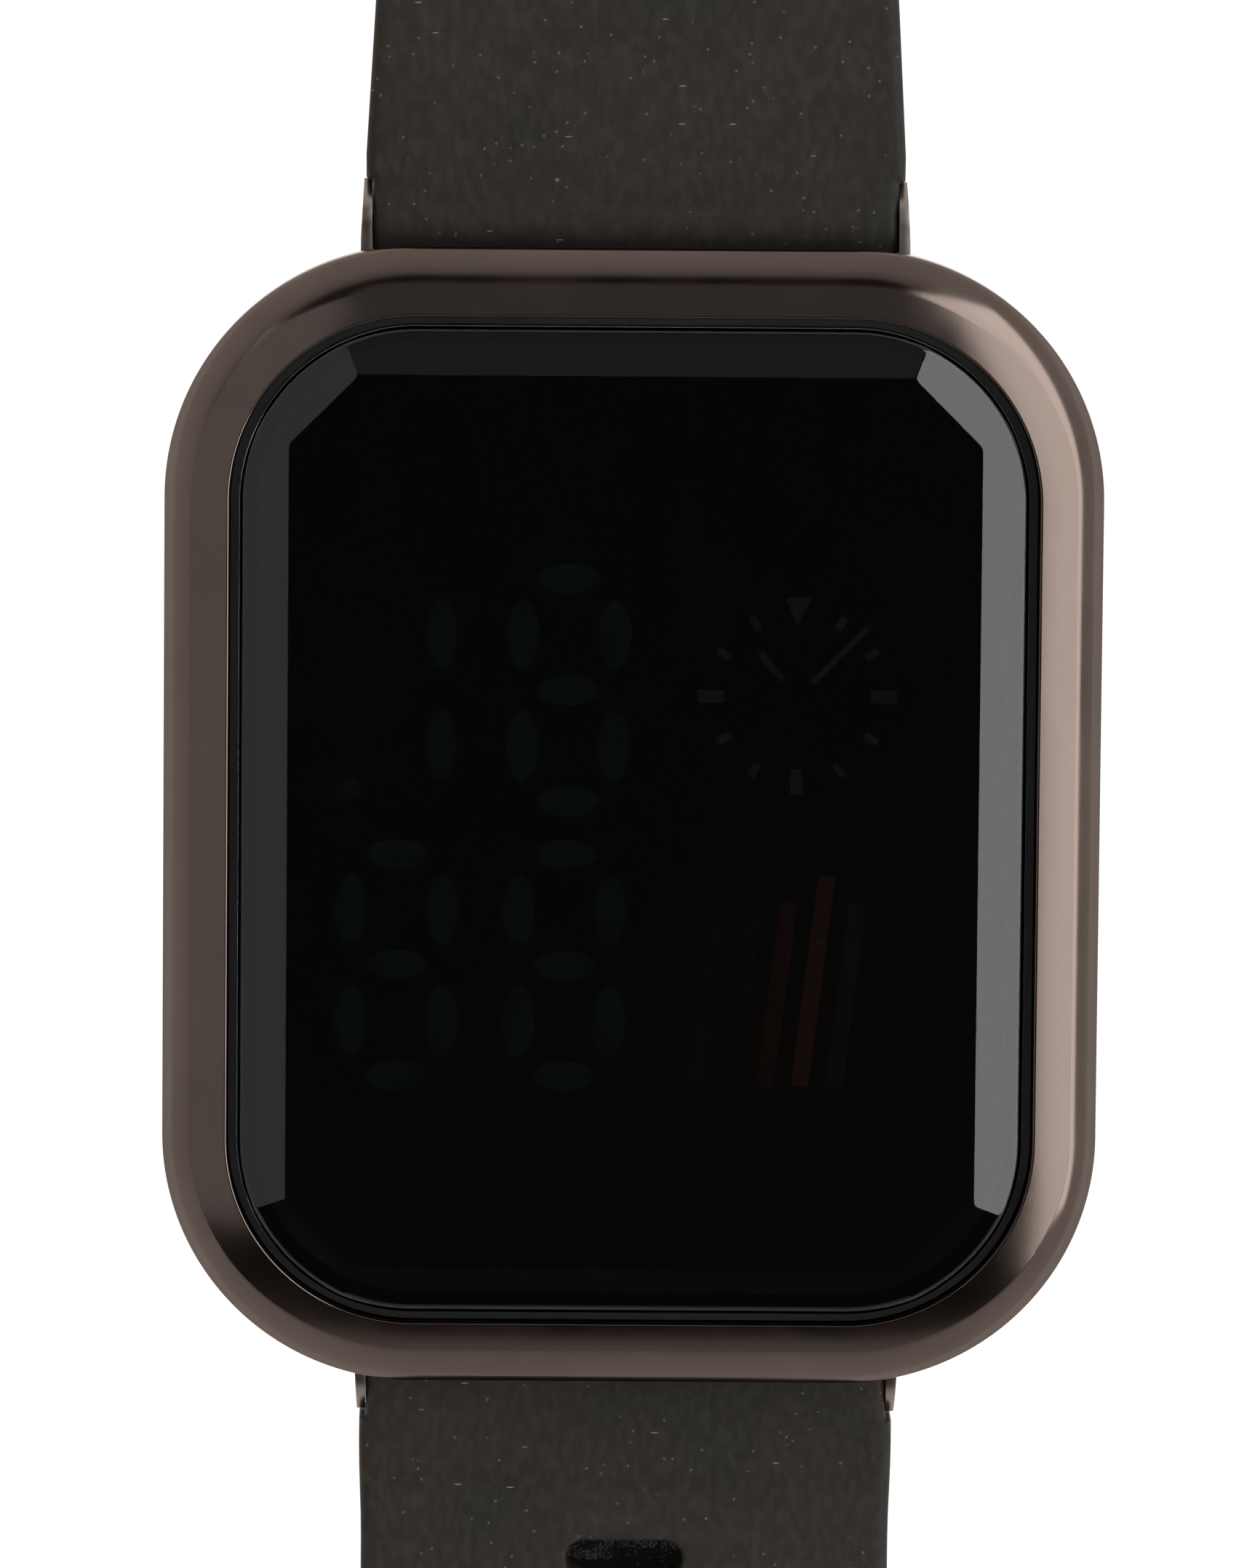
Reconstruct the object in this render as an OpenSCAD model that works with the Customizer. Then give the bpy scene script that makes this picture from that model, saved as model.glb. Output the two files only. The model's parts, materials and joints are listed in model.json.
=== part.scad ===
// Digital smartwatch with a facet-cut crystal, a plated bezel and a two-piece rubber strap.
// Millimetres. The origin is the centre of the case back's resting face. +Z points out of the
// crystal, +Y towards 12 o'clock and +X towards 3 o'clock. The watch lies open on its back.

/* [Case] */
// Width of the bezel, 9 to 3 o'clock
case_w = 38; // [37.5:0.1:39]
// Height of the bezel, 6 to 12 o'clock
case_h = 46.5; // [45.5:0.1:47]
// Corner radius of the bezel
case_r = 10.2; // [9.8:0.1:10.6]
// Width of the bezel's ring, seen from the front
bezel_band = 2.65; // [2.5:0.05:2.8]
// Height of the bezel's inner rim above the case back
bezel_top = 10.2; // [10.1:0.1:10.4]

/* [Crystal] */
// Height of the crystal's flat face above the case back
crystal_top = 10.7; // [10.6:0.1:11]
// Width of the facets between the flat face and the rim
facet_w = 2.0; // [1.6:0.1:2.2]
// Drop of a facet over its width
facet_drop = 0.65; // [0.5:0.05:0.7]
// Leg of the flat face's cut corners
corner_cut = 2.8; // [2.4:0.1:3.2]

/* [Strap] */
// Width of the slotted half beside the lugs
strap_w = 21.9; // [21.8:0.1:22]
// Width of the buckle half beside the lugs
upper_w = 21.9; // [21.6:0.1:22]
// Width of the strap at the buckle
strap_end_w = 20; // [19.8:0.1:20]
// Length of the buckle half, spring bar to buckle pin
upper_len = 73.2; // [70:0.1:78]
// Length of the slotted half, spring bar to tip
lower_len = 118; // [112:0.5:124]
// Number of buckle slots
slot_count = 15; // [8:1:15]
// Distance from one slot to the next
slot_pitch = 6.5; // [6:0.1:6.5]

/* [Hidden] */
$fn = 64;
eps = 0.01;

// Heights in the case stack
rest_z = 0;
shell_foot = 0.5;
back_seat = 1.3;
shell_flare = 2.6;
bezel_foot = 5.4;
bezel_widest = 8.1;
crystal_foot = 8.5;
ledge_top = 8.3;
ledge_foot = 7.0;
film_z = [8.27, 8.45];
mask_z = [6.05, 8.2];
board_z = [5.0, 6.0];
holder_z = [1.9, 4.9];
cell_z = [1.9, 4.4];

// Plan sizes, each a rounded rectangle given as [width, height, corner radius]
bezel_plan = [case_w, case_h, case_r];
aperture_plan = inset(bezel_plan, bezel_band);
crystal_plan = inset(aperture_plan, 0.4);
flat_plan = inset(crystal_plan, facet_w);
ledge_plan = inset(bezel_plan, 3.9);
film_plan = inset(ledge_plan, 0.1);
spigot_plan = inset(bezel_plan, 1.7);
shell_plan = inset(bezel_plan, 0.7);
foot_plan = inset(bezel_plan, 2.2);
cavity_plan = inset(bezel_plan, 4.2);
back_recess_plan = inset(bezel_plan, 3.35);
back_plan = inset(back_recess_plan, 0.15);
board_plan = inset(cavity_plan, 0.25);
mask_plan = inset(ledge_plan, 0.7);

// Case back screws
screw_at = [11.9, 15.9];
screw_head_r = 1.2;
screw_r = 0.7;

// Spring bars and lugs
bar_y = case_h / 2 + 0.35;
bar_z = 3.3;
barrel_r = 1.8;
barrel_gap = 0.3;
bar_bore_r = 0.8;
tube_r = 0.75;
tube_half = 8.2;
tip_r = 0.4;
tip_end = 11.05;
tip_travel = 1.1;
lug_in = 10.7;
lug_out = 11.15;
lug_r = 1.85;
lug_slant = 3;

// Strap
root_half = 10.6;
root_t = 3.2;
strap_t = 2.0;
shoulder_y = 2.05;
upper_flat_z = 2.25;
lower_flat_z = 1.0;
upper_rise = 1.1;
lower_rise = 2.2;
upper_curve = 24;
lower_curve = 48;
slot_first = case_h / 2 + 8.2;
slot_size = [4.8, 1.5];
pin_y = bar_y + upper_len;

// Keepers
keeper_wall = 1.1;
keeper_side = 1.2;
keeper_len = 5.5;
keeper_gap = 0.15;
fixed_keeper_y = pin_y - 11.5;
free_keeper_y = pin_y - 27;

// Buckle
pin_r = 0.75;
frame_in = 10.4;
frame_out = 12.6;
frame_len = 12.2;
frame_bar = 2.5;
frame_t = 2.4;
tongue_w = 4.0;
tongue_t = 1.1;

// Side button at 2 o'clock
button_y = 7;
button_z = 3.7;
button_face = 18.85;
button_pocket = 16.6;
button_travel = 0.5;
stem_r = 0.75;
stem_end = 13.95;
clip_x = cavity_plan[0] / 2;

// LED digits: centre x, centre y, lit segments, with a the top bar and the rest clockwise, g last
digit_w = 3.7;
digit_h = 9.1;
segment_t = 1.3;
all_on = [1, 1, 1, 1, 1, 1, 1];
one_only = [0, 1, 1, 0, 0, 0, 0];
digits = [
    [-9.6, 5.3, one_only],
    [-2.6, 5.3, all_on],
    [-9.5, -6.0, all_on],
    [-2.7, -6.0, all_on],
];
afternoon_dot = [-11.5, 1.2];
dot_r = 0.6;

// Parts of the circuit
cell_at = [-3.2, -4];
cell_r = 10;
driver_at = [10.3, -11];
can_at = [11.3, -1];
can_r = 1;
can_len = 6;
chip_at = [-9, 10.5];
contact_at = [-3.2, -6];
switch_x = [10.6, 13.2];
plunger_r = 0.5;

// ---- Shared shapes ----

// A plan shrunk by d on every side
function inset(plan, d) = [plan[0] - 2 * d, plan[1] - 2 * d, plan[2] - d];

// Eases from 0 to 1 as t goes from 0 to 1
function ease(t) = let (c = min(max(t, 0), 1)) c * c * (3 - 2 * c);

// Points of an elliptical quarter about the centre, from angle a0 to a1
function quarter(centre, radii, a0, a1, steps = 8) = [
    for (i = [0:steps])
        let (a = a0 + (a1 - a0) * i / steps)
        [centre[0] + radii[0] * cos(a), centre[1] + radii[1] * sin(a)]
];

// A rounded rectangle whose corners are true arcs
module rounded(plan) {
    w = plan[0];
    h = plan[1];
    r = plan[2];
    square([w - 2 * r, h], center = true);
    square([w, h - 2 * r], center = true);
    for (sx = [-1, 1], sy = [-1, 1])
        translate([sx * (w / 2 - r), sy * (h / 2 - r)])
            circle(r);
}

// A rounded rectangle between two heights
module slab(plan, z0, z1) {
    translate([0, 0, z0])
        linear_extrude(z1 - z0)
            rounded(plan);
}

// Sweeps a profile round a plan. In the profile x is 0 on the outline and negative inside it.
module swept(plan) {
    w = plan[0];
    h = plan[1];
    r = plan[2];
    corners = [[1, 1, 0], [-1, 1, 90], [-1, -1, 180], [1, -1, 270]];
    for (c = corners)
        translate([c[0] * (w / 2 - r), c[1] * (h / 2 - r), 0])
            rotate([0, 0, c[2]])
                rotate_extrude(angle = 90)
                    translate([r, 0])
                        children();
    for (side = [[w, h, 0], [h, w, 90], [w, h, 180], [h, w, 270]])
        rotate([0, 0, side[2]])
            translate([side[0] / 2, side[1] / 2 - r, 0])
                rotate([90, 0, 0])
                    linear_extrude(side[1] - 2 * r)
                        children();
}

// A bar along X from x0 to x1
module x_bar(r, x0, x1, y = 0, z = 0) {
    translate([x0, y, z])
        rotate([0, 90, 0])
            cylinder(r = r, h = x1 - x0);
}

// A coil along X, drawn as one wire
module coil(r, wire_r, x0, x1, turns, steps = 10, sides = 6) {
    rings = turns * steps;
    function centre(i) = let (a = 360 * i / steps)
        [x0 + wire_r + (x1 - x0 - 2 * wire_r) * i / rings, r * cos(a), r * sin(a)];
    function ring(i) = let (a = 360 * i / steps) [
        for (k = [0:sides - 1])
            let (b = 360 * k / sides, q = r + wire_r * cos(b))
            [centre(i)[0] + wire_r * sin(b), q * cos(a), q * sin(a)]
    ];
    points = [for (i = [0:rings]) each ring(i)];
    walls = [
        for (i = [0:rings - 1], k = [0:sides - 1])
            let (here = i * sides, next = here + sides, n = (k + 1) % sides)
            each [[here + k, here + n, next + n], [here + k, next + n, next + k]]
    ];
    first = [for (k = [0:sides - 1]) sides - 1 - k];
    last = [for (k = [0:sides - 1]) rings * sides + k];
    polyhedron(points = points, faces = concat(walls, [first, last]), convexity = 10);
}

// ---- Front of the case ----

// The plated front frame: a rolled outer edge, a land that rises to the crystal, and a seat
module bezel() {
    land_rise = 0.43;
    roll = quarter([-1.9, bezel_widest], [1.9, (bezel_top - land_rise - bezel_widest) / sin(70)], 0, 70);
    tuck = quarter([-0.75, bezel_widest], [0.75, bezel_widest - bezel_foot], -90, 0, 4);
    color("#4a403c")
        swept(bezel_plan)
            polygon(concat(tuck, roll, [
                [-bezel_band + 0.1, bezel_top],
                [-bezel_band, bezel_top - 0.1],
                [-bezel_band, ledge_top],
                [-3.9, ledge_top],
                [-3.9, ledge_foot],
                [-1.6, ledge_foot],
                [-1.6, bezel_foot],
            ]));
}

// Removes what stands above a facet's plane. The facet faces angle a, and starts at distance d.
module facet_cut(a, d) {
    slope = atan(facet_drop / facet_w);
    rotate([0, 0, a])
        translate([d, 0, crystal_top])
            rotate([0, slope, 0])
                translate([-1, -30, 0])
                    cube([12, 60, 4]);
}

module crystal() {
    half_w = flat_plan[0] / 2;
    half_h = flat_plan[1] / 2;
    diagonal = (half_w + half_h - corner_cut) / sqrt(2);
    color("#0b0b0c")
        difference() {
            slab(crystal_plan, crystal_foot, crystal_top);
            for (a = [0, 180])
                facet_cut(a, half_w);
            for (a = [90, 270])
                facet_cut(a, half_h);
            for (a = [45, 135, 225, 315])
                facet_cut(a, diagonal);
        }
}

// The rubber ring that beds the crystal: a flat part below it and a lip in the gap round it
module crystal_gasket() {
    color("#101010")
        difference() {
            slab(inset(aperture_plan, 0.05), ledge_top, crystal_foot + 0.9);
            slab(inset(crystal_plan, -0.02), crystal_foot, crystal_foot + 2);
            slab(inset(film_plan, -0.03), ledge_top - 1, crystal_foot + 1);
        }
}

module dial_film() {
    color("#080809")
        slab(film_plan, film_z[0], film_z[1]);
}

// ---- Display ----

// The outline of one segment, along X, with pointed ends. d takes that much off all round.
module segment(length, d = 0) {
    l = length / 2 - d;
    t = segment_t / 2 - d;
    polygon([[-l, 0], [-l + t, t], [l - t, t], [l, 0], [l - t, -t], [-l + t, -t]]);
}

// All lit shapes of the display
module lit_shapes(d = 0) {
    arm = digit_h / 2;
    for (g = digits)
        translate([g[0], g[1]]) {
            spots = [
                [0, arm, 0], [digit_w / 2, arm / 2, 90], [digit_w / 2, -arm / 2, 90],
                [0, -arm, 0], [-digit_w / 2, -arm / 2, 90], [-digit_w / 2, arm / 2, 90], [0, 0, 0],
            ];
            for (i = [0:6])
                if (g[2][i])
                    translate([spots[i][0], spots[i][1]])
                        rotate(spots[i][2])
                            segment(spots[i][2] == 0 ? 2.7 : 3.3, d);
        }
    translate(afternoon_dot)
        circle(dot_r - d);
}

// The moulded light box with one window a segment
module segment_mask() {
    color("#d8d8d4")
        difference() {
            slab(mask_plan, mask_z[0], mask_z[1]);
            translate([0, 0, mask_z[0] - 1])
                linear_extrude(5)
                    lit_shapes();
        }
}

module segment_diffusers() {
    color("#2e5f58")
        translate([0, 0, mask_z[1] - 0.9])
            linear_extrude(0.9)
                lit_shapes(0.04);
}

// One LED below each segment
module led_chips() {
    arm = digit_h / 2;
    places = [
        for (g = digits, i = [0:6])
            if (g[2][i])
                let (
                    x = g[0] + [0, 1, 1, 0, -1, -1, 0][i] * digit_w / 2,
                    y = g[1] + [2, 1, -1, -2, -1, 1, 0][i] * arm / 2
                )
                [x, y]
    ];
    color("#f0e6b0")
        for (p = concat(places, [afternoon_dot]))
            translate([p[0] - 0.3, p[1] - 0.3, board_z[1]])
                cube([0.6, 0.6, 0.4]);
}

// ---- Circuit ----

module circuit_board() {
    color("#1d5a35")
        difference() {
            slab(board_plan, board_z[0], board_z[1]);
            for (x = [-12.6, 12.6])
                translate([x, 0, board_z[0] - 1])
                    cylinder(r = 0.7, h = 3);
        }
}

// The epoxy dome over the bare chip
module driver_chip() {
    dome_r = 3;
    color("#111111")
        translate([driver_at[0], driver_at[1], board_z[0]])
            rotate([180, 0, 0])
                union() {
                    cylinder(r = dome_r, h = 0.5);
                    translate([0, 0, 0.5])
                        cylinder(r1 = dome_r, r2 = dome_r - 1.2, h = 0.5);
                }
}

module timing_crystal() {
    color("silver")
        translate([can_at[0], can_at[1], board_z[0] - can_r - 0.05]) {
            translate([0, -can_len / 2, 0])
                rotate([-90, 0, 0])
                    cylinder(r = can_r, h = can_len);
            for (s = [-1, 1])
                translate([s * 0.4, can_len / 2 - eps, 0])
                    rotate([-90, 0, 0])
                        cylinder(r = 0.15, h = 1.5);
        }
}

module chip_resistors() {
    color("#202020")
        for (i = [0:4])
            translate([chip_at[0] + i * 2.4, chip_at[1], board_z[0] - 0.45])
                cube([0.8, 1.6, 0.45]);
}

module tact_switch() {
    color("#2b2b2b")
        difference() {
            translate([switch_x[0], button_y - 1.75, 2.3])
                cube([switch_x[1] - switch_x[0], 3.5, board_z[0] - 2.3]);
            x_bar(plunger_r + 0.1, switch_x[1] - 1.6, switch_x[1] + 1, button_y, button_z);
        }
}

module battery_cell() {
    rim = 0.4;
    color("silver")
        translate([cell_at[0], cell_at[1], 0])
            union() {
                translate([0, 0, cell_z[0]])
                    cylinder(r = cell_r, h = 2.1);
                translate([0, 0, cell_z[0] + 2.1 - eps])
                    cylinder(r = cell_r - 2 * rim, h = cell_z[1] - cell_z[0] - 2.1 + eps);
            }
}

// The plastic spacer that holds the cell and leaves room for what hangs under the board
module battery_holder() {
    color("#e6e6e0")
        difference() {
            slab(board_plan, holder_z[0], holder_z[1]);
            translate([cell_at[0], cell_at[1], 0])
                cylinder(r = cell_r + 0.2, h = 10);
            translate([driver_at[0], driver_at[1], 3.5])
                cylinder(r = 3.3, h = 5);
            translate([can_at[0] - 1.4, can_at[1] - 3.4, 2.6])
                cube([2.8, 8.6, 5]);
            translate([switch_x[0] - 0.3, button_y - 2.2, 0])
                cube([10, 4.4, 10]);
            translate([chip_at[0] - 0.6, chip_at[1] - 0.6, 4])
                cube([11.6, 2.8, 5]);
            for (sx = [-1, 1], sy = [-1, 1])
                translate([sx * screw_at[0], sy * screw_at[1], 0])
                    cylinder(r = 1.95, h = 10);
            for (sy = [-1, 1])
                translate([cell_at[0] - 2.6, cell_at[1] + sy * 12 - 0.4, 0])
                    cube([5.2, 0.8, 10]);
        }
}

// The positive strap that runs under the cell and turns up to the board at both ends
module battery_strap() {
    reach = 12;
    color("#c9c4b4")
        translate([cell_at[0] - 2.3, cell_at[1], 0])
            union() {
                translate([0, -reach - 0.15, 1.55])
                    cube([4.6, 2 * reach + 0.3, 0.3]);
                for (s = [-1, 1])
                    translate([0, s * reach - 0.15, 1.55])
                        cube([4.6, 0.3, board_z[0] - 1.55]);
            }
}

// The leaf under the board that presses on the cell's negative side
module negative_contact() {
    color("#c9b070")
        translate([contact_at[0] - 1.5, contact_at[1], 0])
            rotate([90, 0, 90])
                linear_extrude(3)
                    polygon([
                        [0, 4.8], [1.6, 4.8], [4.4, 4.45], [5.2, 4.6],
                        [5.2, 4.75], [4.4, 4.6], [1.7, 5.0], [0, 5.0],
                    ]);
}

// ---- Shell ----

// One lug ear at the 12 o'clock end, whose outer face slants inwards beyond the bezel
module lug_ear() {
    difference() {
        translate([lug_in, 0, 0])
            rotate([90, 0, 90])
                linear_extrude(lug_out - lug_in)
                    union() {
                        translate([bar_y, bar_z])
                            circle(lug_r);
                        polygon([
                            [bar_y - 3, bezel_foot - eps], [bar_y - 0.9, bezel_foot - eps],
                            [bar_y + 0.9, bar_z + 1.6], [bar_y + 0.5, bar_z - 1.75], [bar_y - 3, bar_z - 1.6],
                        ]);
                    }
        translate([lug_out, case_h / 2, -1])
            rotate([0, 0, lug_slant])
                cube([2, 6, 10]);
    }
}

// The plated housing: curved sides, a spigot inside the bezel, lugs and screw posts
module mid_case() {
    rise = shell_flare - shell_foot;
    flare = (shell_plan[0] - foot_plan[0]) / 2;
    wall = (shell_plan[0] - cavity_plan[0]) / 2;
    color("#6b625c")
        difference() {
            union() {
                swept(shell_plan)
                    polygon(concat(
                        quarter([-flare, shell_flare], [flare, rise], -90, 0, 6),
                        [[0, bezel_foot], [-wall, bezel_foot], [-wall, shell_foot]]
                    ));
                difference() {
                    slab(spigot_plan, back_seat, 6.9);
                    slab(cavity_plan, back_seat - 1, 8);
                }
                for (sx = [-1, 1], sy = [-1, 1])
                    mirrored(sx, sy)
                        lug_ear();
                intersection() {
                    for (sx = [-1, 1], sy = [-1, 1])
                        translate([sx * screw_at[0], sy * screw_at[1], back_seat])
                            cylinder(r = 1.75, h = 3.4);
                    slab(spigot_plan, back_seat, 6.9);
                }
            }
            slab(back_recess_plan, shell_foot - 1, back_seat);
            groove();
            for (sy = [-1, 1])
                strap_seat(sy);
            for (sx = [-1, 1], sy = [-1, 1]) {
                translate([sx * screw_at[0], sy * screw_at[1], back_seat - 1])
                    cylinder(r = screw_r + 0.02, h = 4);
                mirrored(sx, sy)
                    x_bar(tip_r + 0.05, lug_in - 1, lug_out + 1, bar_y, bar_z);
            }
            button_hole();
        }
}

// Mirrors a shape to the left when sx is -1, and to the 6 o'clock side when sy is -1
module mirrored(sx, sy) {
    mirror([sx < 0 ? 1 : 0, 0, 0])
        mirror([0, sy < 0 ? 1 : 0, 0])
            children();
}

// The hollow in the end wall where a strap's barrel turns
module strap_seat(sy) {
    x_bar(barrel_r + barrel_gap, -lug_in, lug_in, sy * bar_y, bar_z);
    translate([-lug_in, sy > 0 ? bar_y : -bar_y - 5, -1])
        cube([2 * lug_in, 5, 8]);
}

// The seal's groove in the case back's seat
module groove() {
    difference() {
        slab(inset(back_recess_plan, 0.1), back_seat - 0.1, back_seat + 0.35);
        slab(inset(back_recess_plan, 0.6), back_seat - 1, back_seat + 1);
    }
}

module back_gasket() {
    color("#0c0c0c")
        difference() {
            slab(inset(back_recess_plan, 0.13), back_seat, back_seat + 0.33);
            slab(inset(back_recess_plan, 0.57), back_seat - 1, back_seat + 1);
        }
}

// The steel back plate, with a stepped edge and counterbored screw holes
module case_back() {
    color("#b9b9b6")
        difference() {
            union() {
                slab(inset(back_plan, 0.5), rest_z, 0.6);
                slab(back_plan, 0.35, back_seat);
            }
            for (sx = [-1, 1], sy = [-1, 1])
                translate([sx * screw_at[0], sy * screw_at[1], -1]) {
                    cylinder(r = screw_head_r + 0.1, h = 1.75);
                    cylinder(r = screw_r + 0.1, h = 4);
                }
        }
}

module back_screws() {
    color("#9a9a98")
        for (sx = [-1, 1], sy = [-1, 1])
            translate([sx * screw_at[0], sy * screw_at[1], 0])
                difference() {
                    union() {
                        translate([0, 0, 0.1])
                            cylinder(r = screw_head_r, h = 0.6);
                        cylinder(r = screw_r, h = 4.1);
                    }
                    translate([0, 0, -1])
                        cylinder(r = 1.5, h = 1.1);
                    for (a = [0, 90])
                        rotate([0, 0, a + 20 * sx])
                            translate([-0.8, -0.15, 0])
                                cube([1.6, 0.3, 0.4]);
                }
}

// ---- Side button ----

// A pill in the YZ plane, standing from x0 to x1
module pill(length, height, x0, x1) {
    translate([x0, button_y, button_z])
        rotate([90, 0, 90])
            linear_extrude(x1 - x0) {
                square([length - height, height], center = true);
                for (s = [-1, 1])
                    translate([s * (length - height) / 2, 0])
                        circle(height / 2);
            }
}

// What the shell gives up for the button: a pocket, a spring seat, a stem bore and a seal groove
module button_hole() {
    pill(6.3, 2.3, button_pocket, 20);
    x_bar(1.15, 15.7, 17, button_y, button_z);
    x_bar(stem_r + 0.05, 14, 17, button_y, button_z);
    x_bar(1.1, 15.0, 15.4, button_y, button_z);
}

module push_button() {
    color("#3d3532")
        difference() {
            union() {
                pill(6, 2, 17.2, button_face);
                x_bar(stem_r, stem_end, 17.3, button_y, button_z);
            }
            difference() {
                x_bar(2, clip_x - 0.3, clip_x, button_y, button_z);
                x_bar(0.5, clip_x - 1, clip_x + 1, button_y, button_z);
            }
        }
}

// The retaining clip in the stem's groove
module button_clip() {
    color("silver")
        difference() {
            x_bar(1.2, clip_x - 0.28, clip_x - 0.02, button_y, button_z);
            x_bar(0.52, clip_x - 1, clip_x + 1, button_y, button_z);
            translate([clip_x - 1, button_y - 0.4, button_z - 2])
                cube([2, 0.8, 2]);
        }
}

module switch_plunger() {
    color("#c8c8c8")
        x_bar(plunger_r, switch_x[1] - 0.9, stem_end, button_y, button_z);
}

module button_seal() {
    color("#0c0c0c")
        difference() {
            x_bar(1.07, 15.03, 15.37, button_y, button_z);
            x_bar(stem_r + 0.03, 15, 16, button_y, button_z);
        }
}

module button_spring() {
    color("silver")
        translate([0, button_y, button_z])
            coil(0.96, 0.09, 15.72, 17.18, 4);
}

// ---- Spring bars ----

module bar_tube(sy) {
    color("silver")
        difference() {
            x_bar(tube_r, -tube_half, tube_half, sy * bar_y, bar_z);
            x_bar(tube_r - 0.25, -tube_half - 1, tube_half + 1, sy * bar_y, bar_z);
        }
}

// A spring bar tip: the end in the lug, a flange, and the stem in the tube
module bar_tip(sx, sy) {
    color("#b0b0ae")
        mirror([sx < 0 ? 1 : 0, 0, 0])
            union() {
                x_bar(tip_r, 6.6, tip_end, sy * bar_y, bar_z);
                x_bar(0.6, tube_half + tip_travel + 0.1, tube_half + tip_travel + 0.5, sy * bar_y, bar_z);
            }
}

module bar_spring(sy) {
    color("silver")
        translate([0, sy * bar_y, bar_z])
            coil(0.36, 0.08, -6.58, 6.58, 13);
}

// ---- Strap ----

// Height of the strap's middle at distance y from the spring bar
function strap_mid(y, curve, rise, flat_z) = let (t = min(max(y / curve, 0), 1))
    bar_z + (flat_z - bar_z) * ease(t) + rise * pow(sin(180 * t), 2);

// Thickness of the strap at distance y from the spring bar
function strap_thick(y) = root_t + (strap_t - root_t) * ease(y / 14);

// Side view of a strap as points in Y and Z, from the spring bar to its end
function strap_side(end, curve, rise, flat_z) = let (
    stations = concat([for (i = [0:24]) curve * i / 24], [end]),
    upper = [for (y = stations) [y, strap_mid(y, curve, rise, flat_z) + strap_thick(y) / 2]],
    lower = [for (i = [len(stations) - 1:-1:0])
        let (y = stations[i]) [y, strap_mid(y, curve, rise, flat_z) - strap_thick(y) / 2]]
) concat(upper, lower);

// A strap's side view, as wide as the strap's widest stretch
module strap_blank(end, curve, rise, flat_z) {
    translate([-strap_w / 2, bar_y, 0])
        rotate([90, 0, 90])
            linear_extrude(strap_w)
                polygon(strap_side(end, curve, rise, flat_z));
}

// Both halves of a strap's outline in plan, from the right-hand points
function both_sides(points) = concat(
    points, [for (i = [len(points) - 1:-1:0]) [-points[i][0], points[i][1]]]
);

// The root between the lugs, and the shoulders beyond them out to a half width
function root_points(half) = [
    [root_half, bar_y - 1], [root_half, bar_y + shoulder_y],
    [(root_half + half) / 2, bar_y + shoulder_y + 0.05], [half, bar_y + shoulder_y + 0.35],
];

// The buckle half, drawn from the spring bar at 12 o'clock to the buckle pin
module upper_strap() {
    half = strap_end_w / 2;
    wide = upper_w / 2;
    taper = [[half, bar_y + 20]];
    notch = tongue_w / 2 + 0.35;
    notch_depth = 3.4;
    color("#2d2b27")
        difference() {
            union() {
                intersection() {
                    strap_blank(upper_len, upper_curve, upper_rise, upper_flat_z);
                    translate([0, 0, -5])
                        linear_extrude(20)
                            polygon(both_sides(concat(root_points(wide), taper, [[half, pin_y + 5]])));
                }
                x_bar(barrel_r, -root_half, root_half, bar_y, bar_z);
                x_bar(barrel_r, -half, half, pin_y, upper_flat_z);
            }
            x_bar(bar_bore_r, -20, 20, bar_y, bar_z);
            x_bar(pin_r + 0.05, -20, 20, pin_y, upper_flat_z);
            translate([-notch, pin_y - notch_depth, -5])
                cube([2 * notch, 10, 20]);
        }
}

// A rubber loop round the strap, open along Y
module keeper(y, gap) {
    inner_w = strap_end_w + 0.4;
    floor_z = upper_flat_z - strap_t / 2 - gap;
    room = 2 * strap_t + 0.4;
    height = floor_z + room + keeper_wall;
    color("#262421")
        translate([0, y + keeper_len / 2, 0])
            rotate([90, 0, 0])
                linear_extrude(keeper_len)
                    difference() {
                        translate([0, height / 2])
                            rounded([inner_w + 2 * keeper_side, height, 1.4]);
                        translate([0, floor_z + room / 2])
                            rounded([inner_w, room, 0.2]);
                    }
}

module fixed_keeper() {
    keeper(fixed_keeper_y, 0);
}

module free_keeper() {
    keeper(free_keeper_y, keeper_gap);
}

// The slotted half, drawn from the spring bar at 6 o'clock to the tip
module lower_strap() {
    half = strap_end_w / 2;
    wide = strap_w / 2;
    middle = wide - 0.1;
    tip_y = bar_y + lower_len;
    tip_len = 13;
    neck = [for (i = [0:4]) [wide + (middle - wide) * ease(i / 4), bar_y + 3 + 4 * i / 4]];
    taper = [for (i = [0:6]) [middle + (half - middle) * ease(i / 6), bar_y + 34 + 24 * i / 6]];
    nose = quarter([0, tip_y - tip_len], [half, tip_len], 0, 84, 12);
    color("#2d2b27")
        rotate([0, 0, 180])
            difference() {
                union() {
                    intersection() {
                        strap_blank(lower_len, lower_curve, lower_rise, lower_flat_z);
                        translate([0, 0, -5])
                            linear_extrude(20)
                                polygon(both_sides(concat(root_points(wide), neck, taper, nose)));
                    }
                    x_bar(barrel_r, -root_half, root_half, bar_y, bar_z);
                }
                x_bar(bar_bore_r, -20, 20, bar_y, bar_z);
                for (i = [0:slot_count - 1])
                    translate([0, slot_first + i * slot_pitch, -5])
                        linear_extrude(20) {
                            square([slot_size[0] - slot_size[1], slot_size[1]], center = true);
                            for (s = [-1, 1])
                                translate([s * (slot_size[0] - slot_size[1]) / 2, 0])
                                    circle(slot_size[1] / 2);
                        }
            }
}

// ---- Buckle ----

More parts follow.
